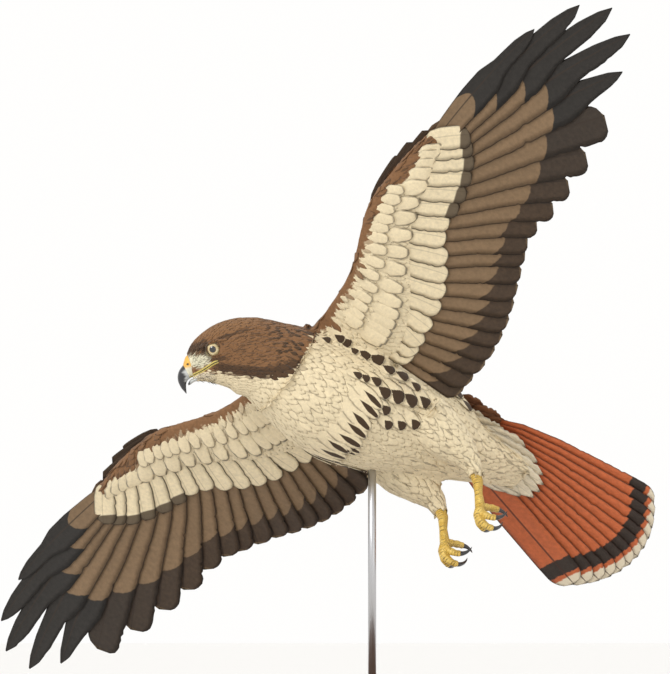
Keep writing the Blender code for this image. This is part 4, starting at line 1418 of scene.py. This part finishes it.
# How far each strand of it lies above the line, its radius, its height off the skin, its darkness;
# the dark strand is painted shade in the mouth's slit.
MOUTH_STRANDS = ((0.085, 0.125, -0.02, 0), (-0.105, 0.115, -0.02, 0), (-0.01, 0.06, 0.07, 1))
STRAND_TAPER = (0.75, 0.8, 0.9, 1.0, 1.0, 0.98, 0.9, 0.35)


def on_cheek(surface, side, x, z):
    """The skin's place beside this one of the head's middle plane, in the bird's frame."""
    turn = np.linalg.inv(BIRD_TO_HEAD)
    start = moved(np.array((x, side * 4.0, z)) * CM, turn)
    way = turn[:3, :3] @ np.array((0.0, -side, 0.0))
    hit = surface.tree.ray_cast(Vector(start), Vector(unit(way)))[0]
    if hit is None:
        beside = moved(np.array((x, side * 0.9, z)) * CM, turn)
        hit = surface.tree.find_nearest(Vector(beside))[0]
    return np.array(hit)


def mouth_pieces(surface, finish):
    """The yellow lips of the gape on both sides, with a dark strand between them that is painted
    shade in the slit of the mouth.
    """
    shells, slit_shade = [], []
    for side in (1, -1):
        for rise, radius, out, dark in MOUTH_STRANDS:
            path = []
            for x, z in MOUTH:
                spot = moved(on_cheek(surface, side, x, z + rise), BIRD_TO_HEAD)
                path.append(Vector(moved(spot + np.array((0, side * out * CM, 0)), HEAD)))
            sizes = [radius * CM * size for size in STRAND_TAPER]
            shells.append(smooth_tube(path, sizes, 36, 12))
            slit_shade += [dark] * len(shells[-1].verts)
    lips = add_piece("lips", joined(shells), [finish])
    # Strands marked dark are painted shade, standing for the slit of the mouth.
    paint_points(lips.data, "tint", blended(all_one((0.56, 0.44, 0.11), slit_shade), (
        (0.03, 0.02, 0.012), np.array(slit_shade, float))))
    return lips


def head_gap(points):
    """Spacing of the head's feathers: finest by the bill, larger to the nape."""
    away = np.linalg.norm(moved(points, BIRD_TO_HEAD) - BILL_ROOT, axis=1)
    return np.clip(0.0015 + 0.030 * (away - 0.012), 0.0015, 0.0050)


def over_eyes(points, radius=0.70):
    """Which places lie over an eye, within this many centimetres of its axis."""
    spots = in_head(points)
    over = np.zeros(len(spots), bool)
    for side in (1, -1):
        axis = np.array(eye_axis(side))
        offset = spots - np.array(eye_place(side)) / CM
        depth = offset @ axis
        over |= (np.linalg.norm(offset - depth[:, None] * axis, axis=1) < radius) & (depth > 0)
    return over


def bare_head(points):
    """Where the head has no feathers: the eyes, the cere and bill, and the mouth's corner."""
    x, _, z = in_head(points).T
    line = np.interp(x, *zip(*MOUTH[::-1]))
    bare = (x > 4.28) | (x < -9.3) | over_eyes(points, 0.74)
    return bare | (np.abs(z - line) < 0.15) & (x > 1.45)


def bristles(surface, finish, rng):
    """Fine dark bristles over the lores, from the cere back towards the eye."""
    points, faces = surface.candidates(60000, rng, np.ones(len(surface.areas)))
    x, _, z = in_head(points).T
    lore = (x > 2.9) & (x < 4.2) & (z < 0.7) & (z > -1.25)
    chin = (x > 2.4) & (x < 4.2) & (z < -2.1)
    roots, faces = points[lore | chin], faces[lore | chin]
    kept = thinned(roots, np.full(len(roots), 0.0026))
    length = rng.uniform(0.0035, 0.0065, len(kept))
    plumes = Plumes()
    coat_vanes(plumes, vane_template(5, 2), surface, roots[kept], faces[kept], length,
               np.full(len(kept), 0.00034), length * 0.28,
               lambda places, _: (all_one((0.05, 0.035, 0.022), places), 0.0 * places), rng,
               lie_of_head, spread=0.30, droop=0.0, tip=0.05)
    return plumes.build("bristles", BIRD, [finish])


# Feet

# Two points down the thigh, which the shank goes on from, as forward, out and up in centimetres.
THIGH = ((-20.9, 3.6, -2.7), (-21.8, 3.5, -3.9))


def bird_point(side, forward, out, up):
    return Vector((forward, side * out, up)) * CM


def foot_frame(side):
    """The hock, the thigh's way, the ball of the foot, the shank's way and the way ahead of it."""
    knee, end = (bird_point(side, *spot) for spot in THIGH)
    down = (end - knee).normalized()
    hock = end + down * 0.0003
    ball = bird_point(side, *BALL_OF_FOOT)
    shank = (ball - hock).normalized()
    ahead = Vector((0, side, 0)).cross(shank) * side
    return hock, down, ball, shank, -ahead if ahead.x < 0 else ahead


def toe_paths(side):
    """Each toe's points and upper sides, then its claw's points."""
    hock, down, ball, shank, ahead = foot_frame(side)
    found = []
    steps = 7
    for length, spread, first, curl, claw_curl, radius in TOES:
        point = ball - shank * 0.25 * CM
        aside = Vector((0, 1, 0)) * spread
        points = [point]
        angle = math.radians(first)
        turning = 1 if curl > 0 else -1
        tops = []
        for _ in range(steps):
            tops.append((ahead * math.cos(angle) - shank * math.sin(angle)) * turning)
            point = point + (shank * math.cos(angle) + ahead * math.sin(angle)
                             + aside).normalized() * length * CM / steps
            angle -= math.radians(curl) / steps
            points.append(point)
        tops.append(tops[-1])
        way = (points[-1] - points[-2]).normalized()
        point = points[-1] - way * 0.002
        claw = [point, points[-1] + way * 0.0013]
        point = claw[-1]
        for _ in range(5):
            way = (shank * math.cos(angle) + ahead * math.sin(angle) + aside * 0.8).normalized()
            point = point + way * length * 0.62 * CM / 6
            angle -= math.radians(claw_curl) / 6
            claw.append(point)
        found.append((points, tops, claw, radius))
    return found

def make_foot(side, finish):
    """One scaled skin over the shank and toes, painted with the places of its scutes."""
    hock, down, ball, shank, ahead = foot_frame(side)
    leg = [hock - down * 0.9 * CM, hock + down * 0.1 * CM, hock + down * 0.5 * CM,
           hock.lerp(ball, 0.5), ball]
    shells = [smooth_tube(leg, [size * CM for size in (0.60, 0.60, 0.57, 0.44, 0.60)], 40, 24)]
    # Each line's points and the sides of them that are its upper ones, close enough together
    # that the nearest one tells how far along it a place of the skin lies.
    fine = [start.lerp(end, t) for start, end in zip(leg, leg[1:]) for t in np.linspace(0, 1, 12)]
    lines = [(fine, [ahead] * len(fine))]
    count = 34
    shares = [k / (count - 1) for k in range(count)]
    for points, tops, claw, radius in toe_paths(side):
        over = [curve_through(tops, share).normalized() for share in shares]
        radii = []
        for share in shares:
            joint = 0.07 * math.cos(share * 3 * 2 * math.pi)
            close = math.sqrt(max(1 - max((share - 0.9) / 0.1, 0.0) ** 2, 0.0))
            radii.append(radius * CM * (1 - 0.20 * share) * (0.95 + joint) * (0.5 + 0.5 * close))
        path = [curve_through(points, share) - top * 0.05 * size
                for share, top, size in zip(shares, over, radii)]
        shells.append(tube(path, radii, 20))
        lines.append((path, over))
    foot = add_piece("foot_skin_" + SIDES[side], placed(joined(shells), bird_matrix()), [finish])
    remeshed(foot, FOOT_VOXEL, 5)
    spots = moved(places_of(foot.data), TO_BIRD)
    best = np.full(len(spots), 9.0)
    along, over = np.zeros(len(spots)), np.zeros(len(spots))
    for path, tops in lines:
        walked = 0.0
        for k, (point, top) in enumerate(zip(path, tops)):
            walked += (point - path[max(k - 1, 0)]).length
            offset = spots - np.array(point)
            away = np.linalg.norm(offset, axis=1)
            closer = away < best
            best[closer] = away[closer]
            along[closer] = walked
            over[closer] = (offset @ np.array(top))[closer] / np.maximum(away[closer], 1e-6)
    paint_points(foot.data, "scute", along / (10 * CM), over * 0.5 + 0.5, best / (2 * CM))
    return foot


def foot_finish():
    """Yellow scaled skin: broad scutes down the front of shank and toes, small scales behind."""
    made = new_material("scaled_skin", 0.42, 0.45)
    along, over, _ = painted(made, "scute").parts()
    front = over.step(0.66, 0.80)
    groove = (along + noise(made, 500.0) * 0.010).waves(0.026).step(0.80, 0.97) * front
    cells = field(made, "ShaderNodeTexVoronoi", {"Vector": object_place(made), "Scale": 620.0},
                  "Distance", feature="DISTANCE_TO_EDGE")
    crack = cells.step(0.10, 0.02) * (1.0 - front)
    colour = mixed(noise(made, 130.0).step(0.35, 0.7), (0.66, 0.42, 0.075), (0.82, 0.58, 0.15))
    colour = mixed(over.step(0.30, 0.12) * 0.4, colour, (0.55, 0.36, 0.10))
    colour = shaded(made, colour, 420.0, 0.88, 1.10)
    colour = mixed(groove * 0.75, colour, (0.10, 0.062, 0.018))
    colour = mixed(crack * 0.45, colour, (0.16, 0.095, 0.025))
    return finished(made, colour, 1.0 - groove.greater(crack), 0.8, 0.0007)


def make_claws(side, finish):
    """The talons of one foot, each with the name of the node that it stands for."""
    made = []
    for index, (_, _, claw, _) in enumerate(toe_paths(side)):
        steps = len(claw) - 1
        radii = [0.28 * CM * (1 - k / steps) ** 0.75 + 0.012 * CM for k in range(steps + 1)]
        bm = placed(smooth_tube(claw, radii, 30, 20), bird_matrix())
        label = "%s_%d" % (SIDES[side], index + 1)
        made.append((add_piece("talon_" + label, bm, [finish]), "claw_" + label))
    return made


def talon_finish():
    made = new_material("talon", 0.24, 0.5, Coat_Weight=0.4, Coat_Roughness=0.12)
    grain = noise(made, 240.0, 5.0)
    colour = mixed(grain.step(0.4, 0.75), (0.012, 0.011, 0.011), (0.055, 0.048, 0.042))
    return finished(made, colour, grain, 0.25, 0.0003)


# Stand

BASE_RADIUS = 0.17
ROD_RADIUS = 0.0045
ROD_BELOW_BIRD = 0.045


def wood_finish():
    """Dark satin wood with long grain."""
    made = new_material("dark_wood", 0.32, 0.45)
    place = stretched_place(made, (4.0, 26.0, 26.0))
    rings = noise(made, 3.0, 8.0, place, 0.65).waves(2 * math.pi / 42.0)
    colour = mixed(rings.step(-0.6, 0.9), (0.062, 0.026, 0.012), (0.150, 0.070, 0.032))
    pores = noise(made, 42.0, 6.0, place, 0.8)
    colour = mixed(pores.step(0.60, 0.72), colour, (0.030, 0.013, 0.007))
    return finished(made, colour, pores, 0.15, 0.0003)


def steel_finish():
    made = new_material("satin_steel", 0.30, 0.5, Metallic=1.0)
    brushed = noise(made, 5.0, 4.0, stretched_place(made, (260.0, 260.0, 2.0)))
    colour = mixed(brushed, (0.46, 0.46, 0.47), (0.62, 0.62, 0.63))
    return finished(made, colour, brushed, 0.12, 0.0001)


def turned(profile, steps=128):
    """A solid turned from a profile of radius and height."""
    bm = bmesh.new()
    verts = [bm.verts.new((radius, 0.0, height)) for radius, height in profile]
    edges = [bm.edges.new(pair) for pair in zip(verts, verts[1:])]
    bmesh.ops.spin(bm, geom=verts + edges, axis=(0, 0, 1), cent=(0, 0, 0),
                   angle=2 * math.pi, steps=steps, use_merge=True)
    bmesh.ops.remove_doubles(bm, verts=bm.verts[:], dist=1e-6)
    bmesh.ops.recalc_face_normals(bm, faces=bm.faces[:])
    return bm


def make_stand(wood, steel):
    high, full = BASE_HEIGHT, BASE_RADIUS
    disc = turned(((0.0, 0.0), (full - 0.002, 0.0), (full, 0.002), (full, high - 0.008),
                   (full - 0.0015, high - 0.0045), (full - 0.004, high - 0.002),
                   (full - 0.007, high - 0.0006), (full - 0.010, high), (0.0, high)))
    ferrule = turned(((0.0, high), (0.013, high), (0.013, high + 0.003), (0.0115, high + 0.005),
                      (0.0080, high + 0.0065), (0.0070, high + 0.016), (0.0, high + 0.016)), 64)
    rod = bmesh.new()
    top, low = BIRD_AT.z - ROD_BELOW_BIRD, high + 0.002
    radius = ROD_RADIUS * 0.97
    bmesh.ops.create_cone(rod, cap_ends=True, segments=48, radius1=radius, radius2=radius,
                          depth=top - low)
    bmesh.ops.translate(rod, verts=rod.verts[:], vec=(0, 0, (top + low) / 2))
    plinth = add_piece("plinth", disc, [wood], smooth=False)
    upright = add_piece("upright", joined([rod, ferrule]), [steel], smooth=False)
    for piece in (plinth, upright):
        for poly in piece.data.polygons:
            poly.use_smooth = abs(poly.normal.z) < 0.98
    return plinth, upright


# Studio

def make_camera():
    view = Vector((0.0, math.cos(LOOK_UP), math.sin(LOOK_UP)))
    up = Vector((0.0, -math.sin(LOOK_UP), math.cos(LOOK_UP)))
    target = BIRD_AT + Vector((AIM_RIGHT, 0, 0)) + up * AIM_UP
    data = bpy.data.cameras.new("camera")
    data.sensor_width = 36.0
    data.lens = 36.0 * CAMERA_AWAY / PICTURE_SPAN
    data.clip_end = 200.0
    camera = bpy.data.objects.new("camera", data)
    camera.location = target - view * CAMERA_AWAY
    camera.rotation_euler = (math.radians(90) + LOOK_UP, 0.0, 0.0)
    bpy.context.scene.collection.objects.link(camera)
    bpy.context.scene.camera = camera


def make_sun(name, direction, strength, angle):
    data = bpy.data.lights.new(name, "SUN")
    data.energy = strength
    data.angle = math.radians(angle)
    light = bpy.data.objects.new(name, data)
    light.rotation_euler = Vector(direction).to_track_quat("-Z", "Y").to_euler()
    bpy.context.scene.collection.objects.link(light)


def make_studio():
    scene = bpy.context.scene
    scene.view_settings.view_transform = "Standard"
    world = bpy.data.worlds.new("studio")
    world.use_nodes = True
    background = world.node_tree.nodes["Background"]
    background.inputs["Color"].default_value = (1.0, 0.995, 0.985, 1.0)
    background.inputs["Strength"].default_value = 1.0
    scene.world = world
    make_sun("key", (0.45, 0.75, -0.55), 1.1, 25)
    make_sun("fill", (-0.5, 0.6, 0.15), 0.35, 60)
    bm = bmesh.new()
    bmesh.ops.create_grid(bm, x_segments=1, y_segments=1, size=90.0)
    bmesh.ops.translate(bm, verts=bm.verts[:], vec=(0, 0, -0.0005))
    made = new_material("floor", 0.9, 0.1)
    finished(made, mixed(noise(made, 3.0), (0.80, 0.79, 0.775), (0.83, 0.82, 0.80)))
    add_piece("floor", bm, [made], smooth=False)


# Assembly

def dress(piece, slot, *nodes):
    """The piece rides on the bird and stands for these nodes. The slot is not used."""
    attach(piece, "root")
    if nodes:
        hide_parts(*nodes)


def painted_surface(skin, rng):
    """The skin's surface, after the plumage's colours are painted on it."""
    surface = Surface(skin)
    paint_points(skin.data, "tint", plumage(surface.points, surface.vertex_normals, rng)[0])
    return surface


def dress_head(coat, rng):
    """The head's skin, coat, eyes, lids, cere, bill and lips."""
    bill = painted_finish("bill_horn", 0.22, 0.5, (220.0, 0.8, 1.25), (440.0, 4.0, 0.4, 0.0003),
                          0.5)
    soft = painted_finish("soft_skin", 0.45, 0.4, (300.0, 0.85, 1.15),
                          (600.0, 4.0, 0.4, 0.0003), 0.15)
    skin = head_skin(skin_finish("head_skin"))
    surface = painted_surface(skin, rng)
    dress(skin, "head_feathers", "head")
    eye = eye_finish()
    for side, label in SIDES.items():
        dress(make_eye(side, eye), "eye", "eye_" + label)
        dress(make_lids(side, soft), "head_feathers")
    dress(make_cere(soft), "cere_skin", "cere")
    for piece, beak in zip(make_bill(bill), ("beak_upper", "beak_lower")):
        dress(piece, "horn", beak)
    dress(mouth_pieces(surface, soft), "cere_skin")
    dress(bristles(surface, coat, rng), "head_feathers")
    everywhere = np.ones(len(surface.areas))
    dress(coat_on(surface, "coat_head", everywhere, head_gap, (3.8, 1.45, 0.10),
                  vane_template(5, 3), coat, rng, tries=160000, lie=lie_of_head, skip=bare_head,
                  spread=0.12, tip=0.12, root_depth=0.0003, droop=0.0003, clear=over_eyes),
          "head_feathers")


def arm_gap(points):
    """Spacing of the small feathers along the arm."""
    return np.full(len(points), 0.0052)


def trunk_gap(points):
    """Spacing of the body's feathers: finer towards the neck and down the thighs."""
    spacing = 0.0056 - 0.0012 * eased(0.0, 6 * CM, points[:, 0])
    return spacing - 0.0014 * eased(-19 * CM, -21.5 * CM, points[:, 0]) * (points[:, 2] < 0)


def uncoated(points):
    """Where the body's skin has no feathers: under the head's own coat and below the hocks."""
    bare = (in_head(points)[:, 0] > -4.0) & (points[:, 0] > 5.2 * CM)
    for side in SIDES:
        hock, down = foot_frame(side)[:2]
        offset = points - np.array(hock)
        bare |= (np.linalg.norm(offset, axis=1) < 1.6 * CM) & (offset @ down > -0.12 * CM)
    return bare


def behind_arm(points):
    """Places at the arm's rear edge, where the flight feathers' own coverts lie."""
    away = np.abs(points[:, 1]) / CM - SHOULDER_OUT / CM
    rear = value_at(WING_REAR, np.clip(away, 3.0, 29.6))
    return (points[:, 0] / CM < rear + 1.3) & (away > 3.5)


def dress_body(coat, rng):
    """The skin of body and arms, and the coats over it."""
    skin = body_skin(skin_finish("body_skin"))
    surface = painted_surface(skin, rng)
    dress(skin, "body_feathers", "torso", "neck", "thigh_left", "thigh_right")
    across = surface.points[surface.quads].mean(axis=1)[:, 1]
    small = vane_template(COAT_ROWS, 4)
    for side, label in SIDES.items():
        arm = (across * side > ARM_FROM).astype(float)
        dress(coat_on(surface, "coat_wing_" + label, arm, arm_gap, (3.6, 1.6, 0.09), small, coat,
                      rng, skip=behind_arm, spread=0.09, tip=0.12), "wing_feathers")
        dress(covert_rows(surface, side, vane_template(8, 6), coat, rng), "wing_feathers")
    dress(belly_band(surface, vane_template(10, 6), coat, rng), "body_feathers")
    above = surface.normals[:, 2] > 0
    for name, half in (("coat_back", above), ("coat_breast", ~above)):
        trunk = (half & (np.abs(across) <= ARM_FROM)).astype(float)
        dress(coat_on(surface, name, trunk, trunk_gap, (3.8, 1.6, 0.09), small, coat, rng,
                      skip=uncoated, spread=0.10, tip=0.12), "body_feathers")


def main():
    make_camera()
    make_studio()
    rng = np.random.default_rng(SEED)
    coat = coat_finish()
    covert = [covert_finish("covert_under", False), covert_finish("covert_upper", True)]
    remiges = [remex_finish("remex_upper", True), remex_finish("remex_under", False), *covert]
    for side, label in SIDES.items():
        piece = wing_plumes(side, rng).build("flight_" + label, BIRD, remiges, BELOW_SHIFT)
        dress(piece, "wing_feathers", "wing_" + label)
    rectrices = [rectrix_finish("rectrix_upper", True), rectrix_finish("rectrix_under", False)]
    dress(tail_plumes(rng).build("rectrices", BIRD, rectrices, BELOW_SHIFT), "tail_feathers",
          "tail")
    dress(tail_covert_plumes(rng).build("tail_coverts", BIRD, covert), "tail_feathers")
    dress_body(coat, rng)
    dress_head(coat, rng)
    scaled, horn = foot_finish(), talon_finish()
    for side, label in SIDES.items():
        dress(make_foot(side, scaled), "leg_skin", "foot_" + label)
        for piece, claw in make_claws(side, horn):
            dress(piece, "horn", claw)
    plinth, upright = make_stand(wood_finish(), steel_finish())
    dress(plinth, "stand_wood", "stand_base")
    dress(upright, "stand_metal", "stand_rod")


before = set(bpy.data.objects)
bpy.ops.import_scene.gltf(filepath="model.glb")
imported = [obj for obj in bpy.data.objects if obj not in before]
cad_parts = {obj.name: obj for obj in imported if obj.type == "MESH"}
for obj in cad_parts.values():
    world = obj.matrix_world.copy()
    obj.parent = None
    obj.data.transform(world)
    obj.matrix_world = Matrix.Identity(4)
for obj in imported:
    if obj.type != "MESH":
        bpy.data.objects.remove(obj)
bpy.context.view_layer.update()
main()
